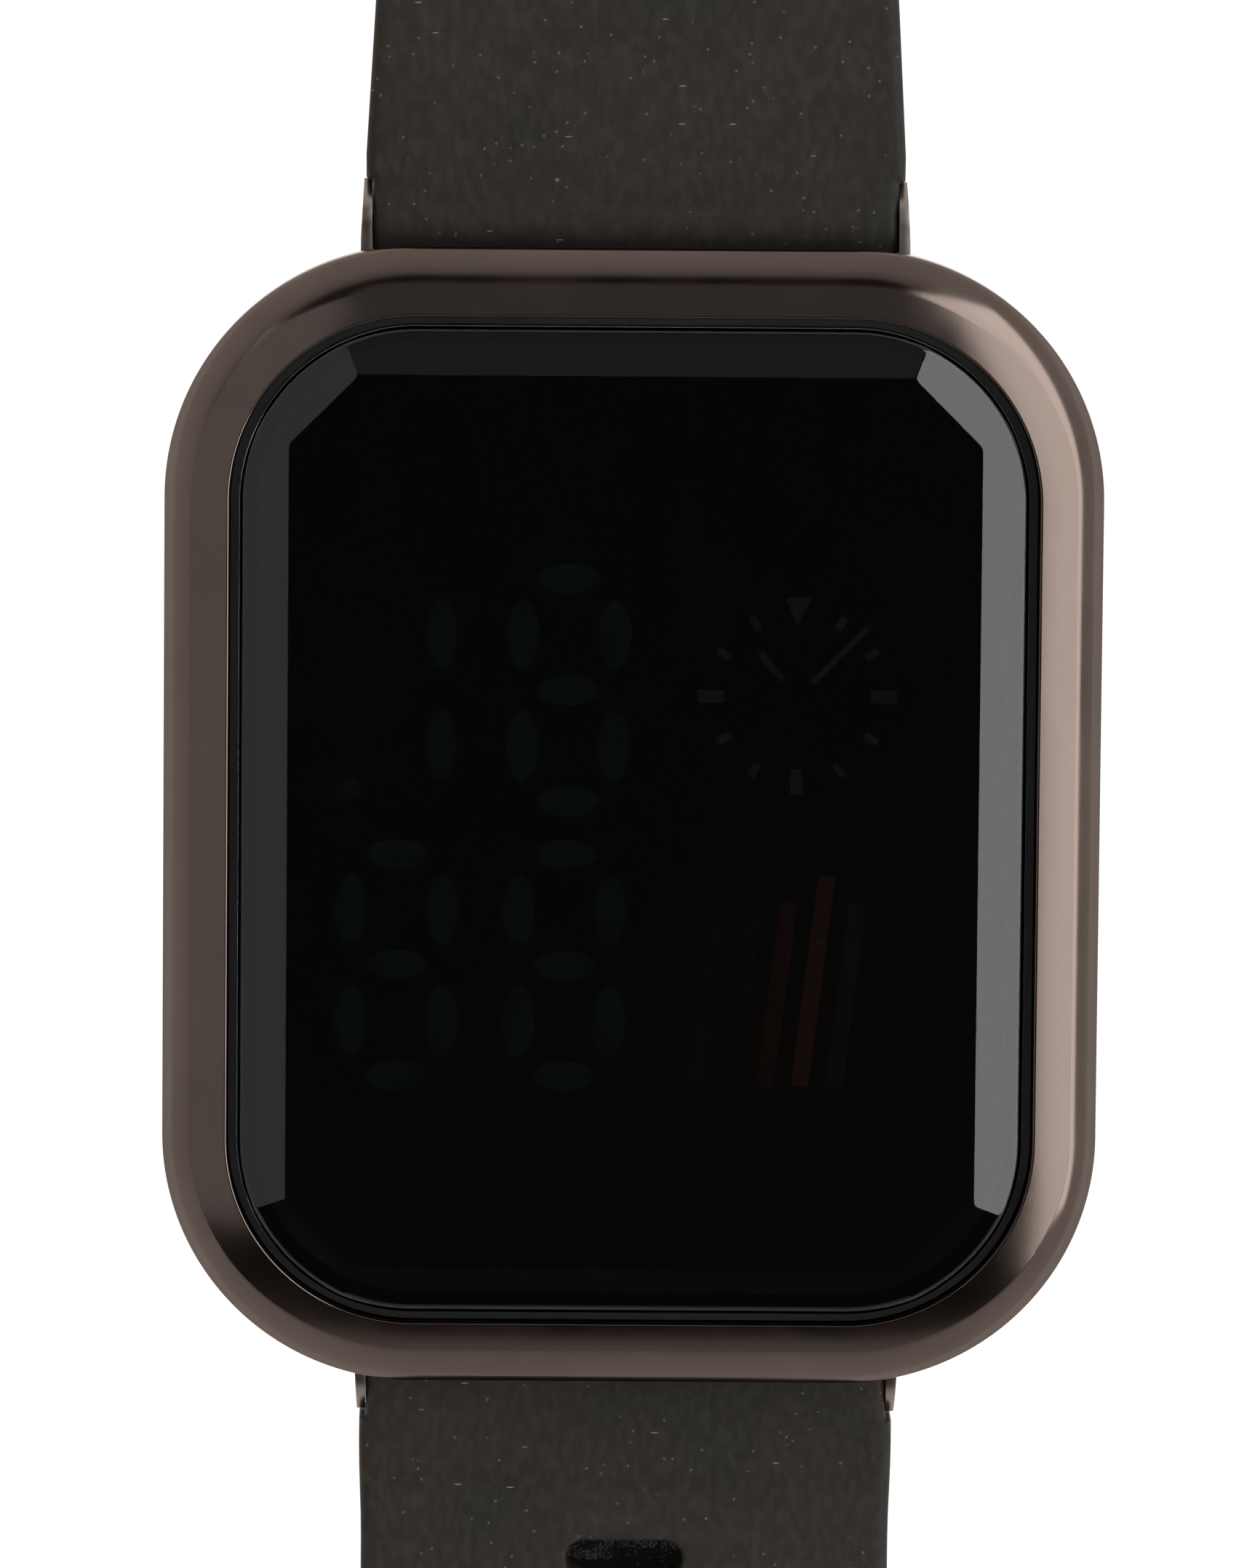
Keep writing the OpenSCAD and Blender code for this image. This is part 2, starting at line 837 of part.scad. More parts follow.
// The frame: two arms that hold the pin, and the front bar that the tongue rests on
module buckle_frame() {
    front = pin_y + frame_len;
    depth = frame_len + 1.2;
    color("#57504c")
        difference() {
            union() {
                translate([0, front - depth / 2, 0])
                    linear_extrude(frame_t)
                        rounded([2 * frame_out, depth, 2.2]);
                for (s = [-1, 1])
                    x_bar(1.7, s > 0 ? frame_in : -frame_out, s > 0 ? frame_out : -frame_in, pin_y, upper_flat_z);
            }
            translate([0, front - frame_bar - frame_len, -5])
                linear_extrude(20)
                    rounded([2 * frame_in, 2 * frame_len, 1.2]);
            x_bar(pin_r + 0.01, -frame_out + 0.5, frame_out - 0.5, pin_y, upper_flat_z);
        }
}

module buckle_pin() {
    color("silver")
        x_bar(pin_r, -frame_out + 0.55, frame_out - 0.55, pin_y, upper_flat_z);
}

// The tongue: an eye round the pin and a flat blade over the front bar
module buckle_tongue() {
    blade_z = frame_t + 0.05;
    reach = frame_len + 0.5;
    color("#57504c")
        difference() {
            translate([-tongue_w / 2, 0, 0])
                rotate([90, 0, 90])
                    linear_extrude(tongue_w) {
                        translate([pin_y, upper_flat_z])
                            circle(1.5);
                        translate([pin_y, blade_z])
                            square([reach - tongue_t / 2, tongue_t]);
                        translate([pin_y + reach - tongue_t / 2, blade_z + tongue_t / 2])
                            circle(tongue_t / 2);
                    }
            x_bar(pin_r + 0.05, -20, 20, pin_y, upper_flat_z);
        }
}

// ---- Assembly ----

bezel();
crystal();
crystal_gasket();
dial_film();
segment_mask();
segment_diffusers();
led_chips();
circuit_board();
driver_chip();
timing_crystal();
chip_resistors();
tact_switch();
battery_cell();
battery_holder();
battery_strap();
negative_contact();
mid_case();
back_gasket();
case_back();
back_screws();
push_button();
button_clip();
switch_plunger();
button_seal();
button_spring();
bar_tube(1);  // upper_bar_tube
bar_spring(1);  // upper_bar_spring
bar_tip(-1, 1);  // upper_bar_tip_left
bar_tip(1, 1);  // upper_bar_tip_right
bar_tube(-1);  // lower_bar_tube
bar_spring(-1);  // lower_bar_spring
bar_tip(-1, -1);  // lower_bar_tip_left
bar_tip(1, -1);  // lower_bar_tip_right
upper_strap();
fixed_keeper();
free_keeper();
buckle_frame();
buckle_pin();
buckle_tongue();
lower_strap();
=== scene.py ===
# %% [markdown]
# # A digital watch, piece by piece
# The frame is a packed engineering model: a case with a facet-cut crystal, a side button and a
# two-piece rubber strap on spring bars. Everything that moves or fits is settled there, so this
# file only builds the looks. It reads its sizes from the frame and works in metres.

# %% Load the frame
import json
import math

import bmesh
import bpy
import numpy as np
from mathutils import Matrix, Vector
from mathutils.geometry import delaunay_2d_cdt


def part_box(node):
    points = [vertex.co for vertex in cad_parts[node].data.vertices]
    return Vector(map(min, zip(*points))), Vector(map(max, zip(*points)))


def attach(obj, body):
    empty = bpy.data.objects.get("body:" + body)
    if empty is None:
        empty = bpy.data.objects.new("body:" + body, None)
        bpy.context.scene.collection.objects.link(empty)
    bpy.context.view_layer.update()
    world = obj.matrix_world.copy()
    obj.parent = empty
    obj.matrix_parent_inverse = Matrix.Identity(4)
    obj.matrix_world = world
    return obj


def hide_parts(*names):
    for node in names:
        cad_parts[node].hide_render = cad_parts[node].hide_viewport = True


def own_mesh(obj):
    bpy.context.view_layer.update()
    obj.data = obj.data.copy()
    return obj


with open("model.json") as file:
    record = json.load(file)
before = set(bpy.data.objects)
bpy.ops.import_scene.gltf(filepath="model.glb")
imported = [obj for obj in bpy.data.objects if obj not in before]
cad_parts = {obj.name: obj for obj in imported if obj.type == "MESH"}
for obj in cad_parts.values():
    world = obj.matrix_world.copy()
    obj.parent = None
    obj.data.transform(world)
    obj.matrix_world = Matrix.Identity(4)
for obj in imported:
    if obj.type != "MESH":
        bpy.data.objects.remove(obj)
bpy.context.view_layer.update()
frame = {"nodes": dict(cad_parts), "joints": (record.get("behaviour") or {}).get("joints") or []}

MM = 0.001

# %% [markdown]
# ## Sizes
# A node's box tells where it is, so each driving size is read once and given a plain name.
# Anything that a box can't say, such as a corner radius, is a named value in the maker's terms.

# %% Driving sizes of the case
bezel_low, bezel_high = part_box("bezel")
crystal_low, crystal_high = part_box("crystal")
case_w = bezel_high.x - bezel_low.x
case_h = bezel_high.y - bezel_low.y
case_r = 10.2 * MM
band = 2.65 * MM
crystal_w = crystal_high.x - crystal_low.x
crystal_h = crystal_high.y - crystal_low.y
crystal_r = case_r - (case_w - crystal_w) / 2
print(f"case {case_w / MM:.1f} x {case_h / MM:.1f} mm")
print(f"crystal {crystal_w / MM:.1f} x {crystal_h / MM:.1f} mm")

# %% Where the straps and the buckle turn
pivot = {j["name"]: Vector(j["pos_m"]) for j in frame["joints"] if "pos_m" in j}
bar = pivot["upper_strap_hinge"]
pin = pivot["buckle_hinge"]
print("spring bar at", [round(v / MM, 2) for v in bar], "buckle pin at", [round(v / MM, 2) for v in pin])

# %% [markdown]
# ## Camera, floor and light
# The watch is seen almost straight from above, a little from the 12 o'clock side, through a
# long lens that is turned by half a degree, as a hand holds it. Polished metal and glass show
# only what they mirror, so the lamps are placed for the facets first: a broad bright panel on
# the right, weaker ones on the left and behind, and nothing overhead, which keeps the flat of
# the crystal black.

# %% A camera at the end of a long lens
def aim(obj, place, target, up=Vector((0, 1, 0))):
    """Puts obj at place and turns its -Z to target, with up at the top of its view."""
    back = (place - target).normalized()
    right = up.cross(back).normalized()
    turn = Matrix((right, back.cross(right), back)).transposed()
    obj.matrix_world = Matrix.Translation(place) @ turn.to_4x4()


view_height = 63.55 * MM
view_distance = 550 * MM
lean_left, lean_up, roll = math.radians(0.7), math.radians(8.5), math.radians(0.5)
target = Vector((-0.19 * MM, 1.48 * MM, 0.9 * bezel_high.z))
sight = Vector((-math.tan(lean_left), math.tan(lean_up), 1)).normalized()
camera_up = Vector((-math.sin(roll), math.cos(roll), 0))

camera_data = bpy.data.cameras.new("camera")
camera_data.sensor_width = 36
camera_data.lens = camera_data.sensor_width * view_distance / view_height
camera_data.clip_start = 0.01
camera = bpy.data.objects.new("camera", camera_data)
bpy.context.scene.collection.objects.link(camera)
aim(camera, target + sight * view_distance, target, camera_up)
bpy.context.scene.camera = camera
print(f"lens {camera_data.lens:.0f} mm at {view_distance:.2f} m")

# %% Lamps and floor
def lamp(name, place, size, power, tint=(1, 1, 1), seen=True):
    """A square panel that faces the watch. An unseen one lights without being mirrored."""
    data = bpy.data.lights.new(name, "AREA")
    data.shape = "RECTANGLE"
    data.size, data.size_y = size
    data.energy = power
    data.color = tint
    obj = bpy.data.objects.new(name, data)
    bpy.context.scene.collection.objects.link(obj)
    up = Vector((0, 0, 1)) if abs(place[2]) < 3 * abs(Vector(place[:2]).length) else Vector((0, 1, 0))
    aim(obj, Vector(place), Vector((0, 0, 0)), up)
    obj.visible_glossy = obj.visible_transmission = seen
    return obj


lamp("right_panel", (0.50, 0.10, 0.50), (1.10, 0.50), 6.7)
lamp("left_panel", (-0.43, 0.08, 0.66), (0.85, 0.40), 0.66)
lamp("back_panel", (0.04, 0.50, 0.80), (0.50, 0.30), 0.10)
lamp("soft_fill", (0.0, 0.0, 1.6), (1.2, 1.2), 26, seen=False)

# %% [markdown]
# The room's own light comes from the world: pale walls that fade to a dark ceiling. The ramp
# reads the height of the direction, so the rolled edges mirror a wall and the flat crystal
# mirrors the dark above it.

# %% Pale walls and a dark ceiling
world = bpy.data.worlds.new("studio")
world.use_nodes = True
world_tree = world.node_tree
background = world_tree.nodes["Background"]
direction = world_tree.nodes.new("ShaderNodeTexCoord")
split = world_tree.nodes.new("ShaderNodeSeparateXYZ")
ramp = world_tree.nodes.new("ShaderNodeValToRGB")
world_tree.links.new(direction.outputs["Generated"], split.inputs[0])
world_tree.links.new(split.outputs["Z"], ramp.inputs[0])
world_tree.links.new(ramp.outputs[0], background.inputs["Color"])
wall_stops = [(0.0, 1.0), (0.5, 0.78), (0.64, 0.50), (0.68, 0.045), (1.0, 0.02)]
while len(ramp.color_ramp.elements) < len(wall_stops):
    ramp.color_ramp.elements.new(0.5)
for stop, (height, value) in zip(ramp.color_ramp.elements, wall_stops):
    stop.position = height
    stop.color = (value, 0.95 * value, 0.91 * value, 1)
bpy.context.scene.world = world
bpy.context.scene.view_settings.view_transform = "Standard"


# %% A floor
floor_half = 3.0
floor_mesh = bpy.data.meshes.new("floor")
corners = [(sx * floor_half, sy * floor_half, 0) for sx, sy in ((-1, -1), (1, -1), (1, 1), (-1, 1))]
floor_mesh.from_pydata(corners, [], [(0, 1, 2, 3)])
floor = bpy.data.objects.new("floor", floor_mesh)
floor.location.z = -0.02 * MM
bpy.context.scene.collection.objects.link(floor)

# %% [markdown]
# ## Finishes
# Each finish is a small tree of nodes on Object coordinates, so its grain has a real size and
# stays with the piece. Three things recur: a noise of a stated grain size, a range that turns
# it into a roughness or a mask, and a bump. They come first, as helpers.

# %% Helpers for finishes
def wire(tree, socket, value):
    """Links an output to a socket, or sets the socket's value."""
    if isinstance(value, bpy.types.NodeSocket):
        tree.links.new(value, socket)
    else:
        socket.default_value = value


def add(tree, kind, inputs=None, prefix="ShaderNode", **settings):
    """Adds a node, with its settings and its inputs by name or number."""
    made = tree.nodes.new(prefix + kind)
    for key, value in settings.items():
        setattr(made, key, value)
    for key, value in (inputs or {}).items():
        wire(tree, made.inputs[key], value)
    return made


def cosine(angle):
    return math.cos(math.radians(angle))


def sine(angle):
    return math.sin(math.radians(angle))


def shade(tree, kind, inputs=None, output=0, **settings):
    """Adds a shader node and returns one of its outputs."""
    return add(tree, kind, inputs, **settings).outputs[output]


def geo(tree, kind, inputs=None, **settings):
    """Adds a geometry node and returns its first output."""
    return add(tree, kind, inputs, prefix="GeometryNode", **settings).outputs[0]


def place_on(tree, stretch=(1, 1, 1), turn=(0, 0, 0)):
    """Object coordinates, stretched along the axes and turned."""
    coords = add(tree, "TexCoord")
    inputs = {"Vector": coords.outputs["Object"], "Scale": tuple(1 / s for s in stretch), "Rotation": turn}
    return shade(tree, "Mapping", inputs)


def grain(tree, size, detail=3.0, stretch=(1, 1, 1), turn=(0, 0, 0)):
    """Noise whose grains are about size millimetres across."""
    vector = place_on(tree, stretch, turn)
    return shade(tree, "TexNoise", {"Vector": vector, "Scale": 1 / (size * MM), "Detail": detail})


def between(tree, value, low, high, start=0.3, stop=0.7):
    """Turns a value from start to stop into one from low to high."""
    inputs = {"Value": value, 1: start, 2: stop, 3: low, 4: high}
    return shade(tree, "MapRange", inputs)


def mix(tree, share, first, second):
    """A colour that goes from first to second."""
    colours = [c if isinstance(c, bpy.types.NodeSocket) else (*c, 1) for c in (first, second)]
    return add(tree, "Mix", {0: share, 6: colours[0], 7: colours[1]}, data_type="RGBA").outputs[2]


def math_node(tree, operation, first, second):
    return shade(tree, "Math", {0: first, 1: second}, operation=operation)


def bump(tree, height, depth, strength=1.0, under=None):
    """A bump of depth millimetres, on top of another one if given."""
    inputs = {"Height": height, "Distance": depth * MM, "Strength": strength}
    if under is not None:
        inputs["Normal"] = under
    return shade(tree, "Bump", inputs)


def specks(tree, spacing, size, share, stretch=(1, 1, 1), turn=(0, 0, 0)):
    """A mask of scattered specks: one cell in so many holds a speck of about size millimetres."""
    vector = place_on(tree, stretch, turn)
    cells = add(tree, "TexVoronoi", {"Vector": vector, "Scale": 1 / (spacing * MM)})
    reach = size / spacing / 2
    near = between(tree, cells.outputs["Distance"], 1, 0, reach * 0.6, reach)
    pick = shade(tree, "SeparateColor", {0: cells.outputs["Color"]})
    kept = math_node(tree, "LESS_THAN", pick, share)
    return math_node(tree, "MULTIPLY", near, kept)


def finish(name, **sockets):
    """A new material, its tree and its shader, with the shader's constant sockets set."""
    material = bpy.data.materials.new(name)
    material.use_nodes = True
    shader = material.node_tree.nodes["Principled BSDF"]
    for key, value in sockets.items():
        shader.inputs[key.replace("_", " ")].default_value = value
    return material, material.node_tree, shader.inputs


# %% [markdown]
# ### Plated metal
# The bezel, buckle and button are plated in a dark, warm chrome. Chrome is a mirror, so its
# colour is only a tint, and what tells it from plastic is in the roughness: a faint haze of
# handling, hairline scratches and a few grains of dust.

# %% Plated metal
def plated(name, tint, low, high, hair=(1, 1, 1), dust_share=0.25):
    """Metal of one tint whose roughness wanders from low to high, with scratches along hair."""
    material, tree, sockets = finish(name, Metallic=1.0)
    sockets["Specular Tint"].default_value = (0.60, 0.53, 0.48, 1)
    haze = grain(tree, 4.0, 4.0)
    fine = grain(tree, 0.05, 2.0, stretch=hair)
    dust = specks(tree, 2.2, 0.16, dust_share)
    rough = between(tree, haze, low, high)
    darker = tuple(0.88 * c for c in tint)
    dull = math_node(tree, "MULTIPLY", dust, 0.8)
    wire(tree, sockets["Roughness"], math_node(tree, "MAXIMUM", rough, dull))
    clean = mix(tree, between(tree, haze, 0, 1), darker, tint)
    wire(tree, sockets["Base Color"], mix(tree, dust, clean, (0.42, 0.38, 0.33)))
    wire(tree, sockets["Metallic"], math_node(tree, "SUBTRACT", 1.0, dust))
    wire(tree, sockets["Normal"], bump(tree, fine, 0.002, 0.35))
    return material


bezel_metal = plated("bezel_plating", (0.116, 0.091, 0.080), 0.10, 0.17)
case_metal = plated("case_plating", (0.26, 0.225, 0.20), 0.26, 0.40, hair=(6, 1, 1))
buckle_metal = plated("buckle_plating", (0.20, 0.17, 0.155), 0.16, 0.28, hair=(1, 8, 1))
print("plated finishes", bezel_metal.name, case_metal.name, buckle_metal.name)

# %% [markdown]
# ### Steel
# The back plate, the screws and the spring bars are plain steel. A lathe or a belt leaves fine
# parallel lines, so the noise is stretched along them and drives both roughness and bump.

# %% Steel and contact metals
def brushed(name, tint, rough, lines):
    """Metal with fine lines, stretched as lines says."""
    material, tree, sockets = finish(name, Metallic=1.0)
    line = grain(tree, 0.06, 3.0, stretch=lines)
    cloud = grain(tree, 6.0)
    darker = tuple(0.85 * c for c in tint)
    wire(tree, sockets["Base Color"], mix(tree, between(tree, cloud, 0, 1), darker, tint))
    wire(tree, sockets["Roughness"], between(tree, line, 0.8 * rough, 1.25 * rough))
    wire(tree, sockets["Normal"], bump(tree, line, 0.003, 0.5))
    return material


back_steel = brushed("back_steel", (0.52, 0.51, 0.49), 0.30, (40, 1, 1))
turned_steel = brushed("turned_steel", (0.50, 0.49, 0.47), 0.24, (1, 6, 6))
spring_steel = brushed("spring_steel", (0.46, 0.46, 0.46), 0.22, (1, 1, 1))
cell_steel = brushed("cell_steel", (0.58, 0.58, 0.57), 0.26, (1, 30, 1))
contact_metal = brushed("contact_brass", (0.62, 0.47, 0.22), 0.28, (1, 12, 1))
strap_metal = brushed("contact_strip", (0.60, 0.57, 0.50), 0.25, (1, 12, 1))

# %% [markdown]
# ### Rubber
# The strap is matt moulded rubber, olive-brown rather than black, worn a little lighter in
# clouds, with a fine pebble from the mould. It holds dust: pale specks and a few short fibres.
# The specks are a mask that lightens and dulls the colour. They need no geometry of their own.

# %% Strap rubber
def rubber(name, brown, olive, rough, dust_colour=(0.16, 0.145, 0.12), dusty=1.0):
    """Matt rubber that wanders between two shades, with rubbed streaks, specks and lint."""
    material, tree, sockets = finish(name, Specular_IOR_Level=0.17)
    cloud = grain(tree, 7.0, 6.0)
    rubbed = grain(tree, 0.35, 5.0, stretch=(1, 2, 1))
    pebble = grain(tree, 0.12, 2.0)
    small = specks(tree, 0.6, 0.14, 0.9 * dusty)
    large = specks(tree, 2.2, 0.24, 0.6 * dusty)
    lint = specks(tree, 2.0, 0.36, 0.4 * dusty, stretch=(1, 0.2, 1), turn=(0, 0, 0.6))
    dust = math_node(tree, "MULTIPLY", small, 0.22)
    for mask, strength in ((large, 0.6), (lint, 0.5)):
        dust = math_node(tree, "MAXIMUM", dust, math_node(tree, "MULTIPLY", mask, strength))
    colour = mix(tree, between(tree, cloud, 0, 1, 0.35, 0.65), brown, olive)
    haze = between(tree, rubbed, 0.0, 0.04 * dusty, 0.40, 0.75)
    colour = mix(tree, haze, colour, dust_colour)
    wire(tree, sockets["Base Color"], mix(tree, dust, colour, dust_colour))
    wire(tree, sockets["Roughness"], between(tree, cloud, rough, min(1, rough + 0.12)))
    fine = bump(tree, pebble, 0.012, 0.4)
    wire(tree, sockets["Normal"], bump(tree, rubbed, 0.010, 0.25, under=fine))
    return material


strap_rubber = rubber("strap_rubber", (0.0116, 0.0080, 0.0060), (0.0080, 0.0074, 0.0057), 0.55)
seal_rubber = rubber("seal_rubber", (0.006, 0.006, 0.006), (0.008, 0.008, 0.008), 0.45, dusty=0.0)

# %% [markdown]
# ### Crystal and display
# The crystal is clear glass over a smoked film, which is why the screen looks black: nearly
# all that shows is the mirror of the room in the facets. Handling leaves a film so thin that it
# only changes the roughness.

# %% Glass and plain plastic
def polished_glass():
    material, tree, sockets = finish("crystal_glass", IOR=1.48, Transmission_Weight=1.0)
    sockets["Base Color"].default_value = (0.92, 0.94, 0.94, 1)
    smear = grain(tree, 3.0, 4.0, stretch=(1, 5, 1))
    wire(tree, sockets["Roughness"], between(tree, smear, 0.0, 0.045))
    return material


def moulded(name, dark, light, rough, pebble=0.1, depth=0.006, **sockets_set):
    """Plain moulded plastic with a fine spark-eroded texture."""
    material, tree, sockets = finish(name, **sockets_set)
    cloud = grain(tree, 3.0, 4.0)
    skin = grain(tree, pebble, 2.0)
    wire(tree, sockets["Base Color"], mix(tree, between(tree, cloud, 0, 1), dark, light))
    wire(tree, sockets["Roughness"], between(tree, cloud, rough, rough + 0.1))
    wire(tree, sockets["Normal"], bump(tree, skin, depth, 0.4))
    return material


crystal_glass = polished_glass()

# %% [markdown]
# The film behind the crystal is smoked plastic that shifts from blue-black to brown across the
# screen, too dark to be called a colour. It is the plane that every printed mark sits on.

# %% Smoked film
def smoked():
    """Smoked plastic, blue-black above and warmer towards one lower corner, dotted with dust."""
    material, tree, sockets = finish("smoked_film", Roughness=0.6, Specular_IOR_Level=0.0)
    coords = add(tree, "TexCoord").outputs["Object"]
    across = {0: coords, 1: (0.55 / MM, -0.83 / MM, 0)}
    along = shade(tree, "VectorMath", across, output="Value", operation="DOT_PRODUCT")
    wander = math_node(tree, "ADD", along, between(tree, grain(tree, 6.0, 3.0), -2.0, 2.0))
    warmth = between(tree, wander, 0, 1, 2.0, 9.0)
    colour = mix(tree, warmth, (0.0007, 0.0008, 0.0010), (0.0020, 0.0013, 0.0007))
    dust = math_node(tree, "MULTIPLY", specks(tree, 2.6, 0.10, 0.22), 0.5)
    wire(tree, sockets["Base Color"], mix(tree, dust, colour, (0.05, 0.05, 0.05)))
    return material


smoked_film = smoked()

# %% Plastics, resins and the board
mask_plastic = moulded("mask_plastic", (0.60, 0.60, 0.57), (0.68, 0.68, 0.65), 0.5)
spacer_plastic = moulded("spacer_plastic", (0.66, 0.65, 0.61), (0.74, 0.73, 0.69), 0.5)
black_plastic = moulded("black_plastic", (0.012, 0.012, 0.012), (0.02, 0.02, 0.02), 0.45)
chip_epoxy = moulded("chip_epoxy", (0.008, 0.008, 0.009), (0.014, 0.014, 0.015), 0.25)
diffuser_resin = moulded(
    "diffuser_resin", (0.05, 0.16, 0.14), (0.07, 0.20, 0.18), 0.35, Subsurface_Weight=0.2,
)
led_resin = moulded("led_resin", (0.75, 0.66, 0.32), (0.82, 0.74, 0.42), 0.2)
board_mask = moulded("board_mask", (0.010, 0.075, 0.028), (0.014, 0.10, 0.04), 0.3, pebble=0.6)
print(len(bpy.data.materials), "finishes")

# %% [markdown]
# ### The table
# The watch lies on a light table, which glows evenly so that the outlines stand clear and no
# shadow falls beside them. Within 9 mm of the middle, an ambient-occlusion mask paints shade:
# where the strap hangs close above, glow and colour drop to near black, so a slot reads as a hole.

# %% Light table
table, tree, sockets = finish("light_table", Roughness=0.9)
paper = grain(tree, 30.0, 3.0)
sockets["Emission Color"].default_value = (1, 1, 1, 1)
# Ambient occlusion from the watch above, which drives the painted shade on the table.
occlusion_for_painted_shade = add(tree, "AmbientOcclusion", {"Distance": 8 * MM}, samples=8).outputs["AO"]
beside = shade(tree, "SeparateXYZ", {0: add(tree, "TexCoord").outputs["Object"]})
beside = math_node(tree, "GREATER_THAN", math_node(tree, "ABSOLUTE", beside, 0.0), 9.0 * MM)
outside_painted_shade = math_node(tree, "MAXIMUM", beside, between(tree, occlusion_for_painted_shade, 0.0, 1.0, 0.40, 0.52))
paper_shade = mix(tree, between(tree, paper, 0, 1), (0.12, 0.12, 0.12), (0.14, 0.14, 0.14))
# Painted shade: near-black colour and no glow where the occlusion mask says the strap covers the table.
wire(tree, sockets["Base Color"], mix(tree, outside_painted_shade, (0.006, 0.006, 0.006), paper_shade))
wire(tree, sockets["Emission Strength"], math_node(tree, "MULTIPLY", outside_painted_shade, 0.97))
floor_mesh.materials.append(table)

# %% [markdown]
# ## From mesh to piece
# Every piece is finished in the same few steps: its faces are turned outward, creases sharper
# than an angle stay crisp while the rest shades smoothly, it gets its finish, and it rides on
# the body that it belongs to. The number of open edges should print as zero.

# %% A mesh becomes a piece of a body
def show(name, mesh, body, slot, material, *replaced, sharp=32):
    """Puts a finished mesh in the scene as a piece of a body, in place of CAD nodes."""
    shape = bmesh.new()
    shape.from_mesh(mesh)
    if shape.calc_volume(signed=True) < 0:
        bmesh.ops.reverse_faces(shape, faces=shape.faces)
    volume = shape.calc_volume()
    open_edges = sum(not e.is_manifold for e in shape.edges)
    triangles = sum(len(f.verts) - 2 for f in shape.faces)
    shape.to_mesh(mesh)
    shape.free()
    mesh.name = name
    mesh.materials.clear()
    mesh.materials.append(material)
    mesh.polygons.foreach_set("material_index", [0] * len(mesh.polygons))
    mesh.shade_smooth()
    mesh.set_sharp_from_angle(angle=math.radians(sharp))
    obj = bpy.data.objects.new(name, mesh)
    bpy.context.scene.collection.objects.link(obj)
    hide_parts(*replaced)
    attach(obj, body)
    print(f"{name}: {triangles} triangles, {volume / MM ** 3:.1f} mm3, {open_edges} open edges")
    return obj


# %% [markdown]
# ### Growing a mesh with Geometry Nodes
# What repeats or follows a path is grown by a small node tree with named sizes. The helpers
# below make the tree, set its sizes by their identifiers and take the plain mesh that results.

# %% Helpers for Geometry Nodes
SOCKET_KINDS = {int: "NodeSocketInt", float: "NodeSocketFloat", tuple: "NodeSocketVector"}


def new_tree(name, sizes):
    """A tree with a Geometry input and one named input for each size."""
    tree = bpy.data.node_groups.new(name, "GeometryNodeTree")
    tree.interface.new_socket("Geometry", in_out="OUTPUT", socket_type="NodeSocketGeometry")
    tree.interface.new_socket("Geometry", in_out="INPUT", socket_type="NodeSocketGeometry")
    for key, value in sizes.items():
        tree.interface.new_socket(key, in_out="INPUT", socket_type=SOCKET_KINDS[type(value)])
    return tree, tree.nodes.new("NodeGroupInput").outputs


def close_tree(tree, geometry, material):
    """Ends a tree in Realize Instances and Set Material."""
    real = geo(tree, "RealizeInstances", {0: geometry})
    inputs = {"Geometry": real, "Material": material}
    painted = geo(tree, "SetMaterial", inputs)
    tree.links.new(painted, tree.nodes.new("NodeGroupOutput").inputs[0])


def grow(tree, sizes, start=None):
    """Runs a tree on a start mesh and returns the plain mesh that it makes."""
    holder = bpy.data.objects.new("holder", start or bpy.data.meshes.new("start"))
    bpy.context.scene.collection.objects.link(holder)
    modifier = holder.modifiers.new("nodes", "NODES")
    modifier.node_group = tree
    for item in tree.interface.items_tree:
        if item.in_out == "INPUT" and item.name in sizes:
            modifier[item.identifier] = sizes[item.name]
    seen = holder.evaluated_get(bpy.context.evaluated_depsgraph_get())
    mesh = bpy.data.meshes.new_from_object(seen)
    bpy.data.objects.remove(holder)
    return mesh


# %% [markdown]
# ## Bezel
# The bezel is a die-cast ring: a rolled outer edge, a crease, and a polished land that rises to
# the crystal. Its shape is one profile carried round a rounded rectangle, so Geometry Nodes
# sweep it. The one thing a plain sweep can't do is the crease, which lies further in at the 6
# and 12 o'clock ends. A weight on the profile's points says how much each may slide inwards.

# %% The bezel's profile
def arc(centre, radii, start, stop, steps):
    """Points of an ellipse from one angle to another, in degrees."""
    turns = [math.radians(start + (stop - start) * i / steps) for i in range(steps + 1)]
    return [(centre[0] + radii[0] * math.cos(t), centre[1] + radii[1] * math.sin(t)) for t in turns]


rim_top = bezel_high.z / MM
foot = bezel_low.z / MM
crease_in, crease_z, crease_angle = 1.09, rim_top - 0.43, 62
edge_r, edge_angle = 0.35, 36
band_mm, seat_mm, seat_top, seat_foot, socket_mm = band / MM, 3.9, 8.3, 7.0, 1.6
rim_r = 0.10


def unit(angle):
    return Vector((math.cos(math.radians(angle)), math.sin(math.radians(angle))))


rise = unit(crease_angle) - unit(edge_angle)
edge_in = edge_r * (1 - unit(edge_angle).x)
roll_r = (crease_in - edge_in) / -rise.x
roll_centre = Vector((-crease_in, crease_z)) - roll_r * unit(crease_angle)
widest = crease_z - roll_r * rise.y - edge_r * unit(edge_angle).y

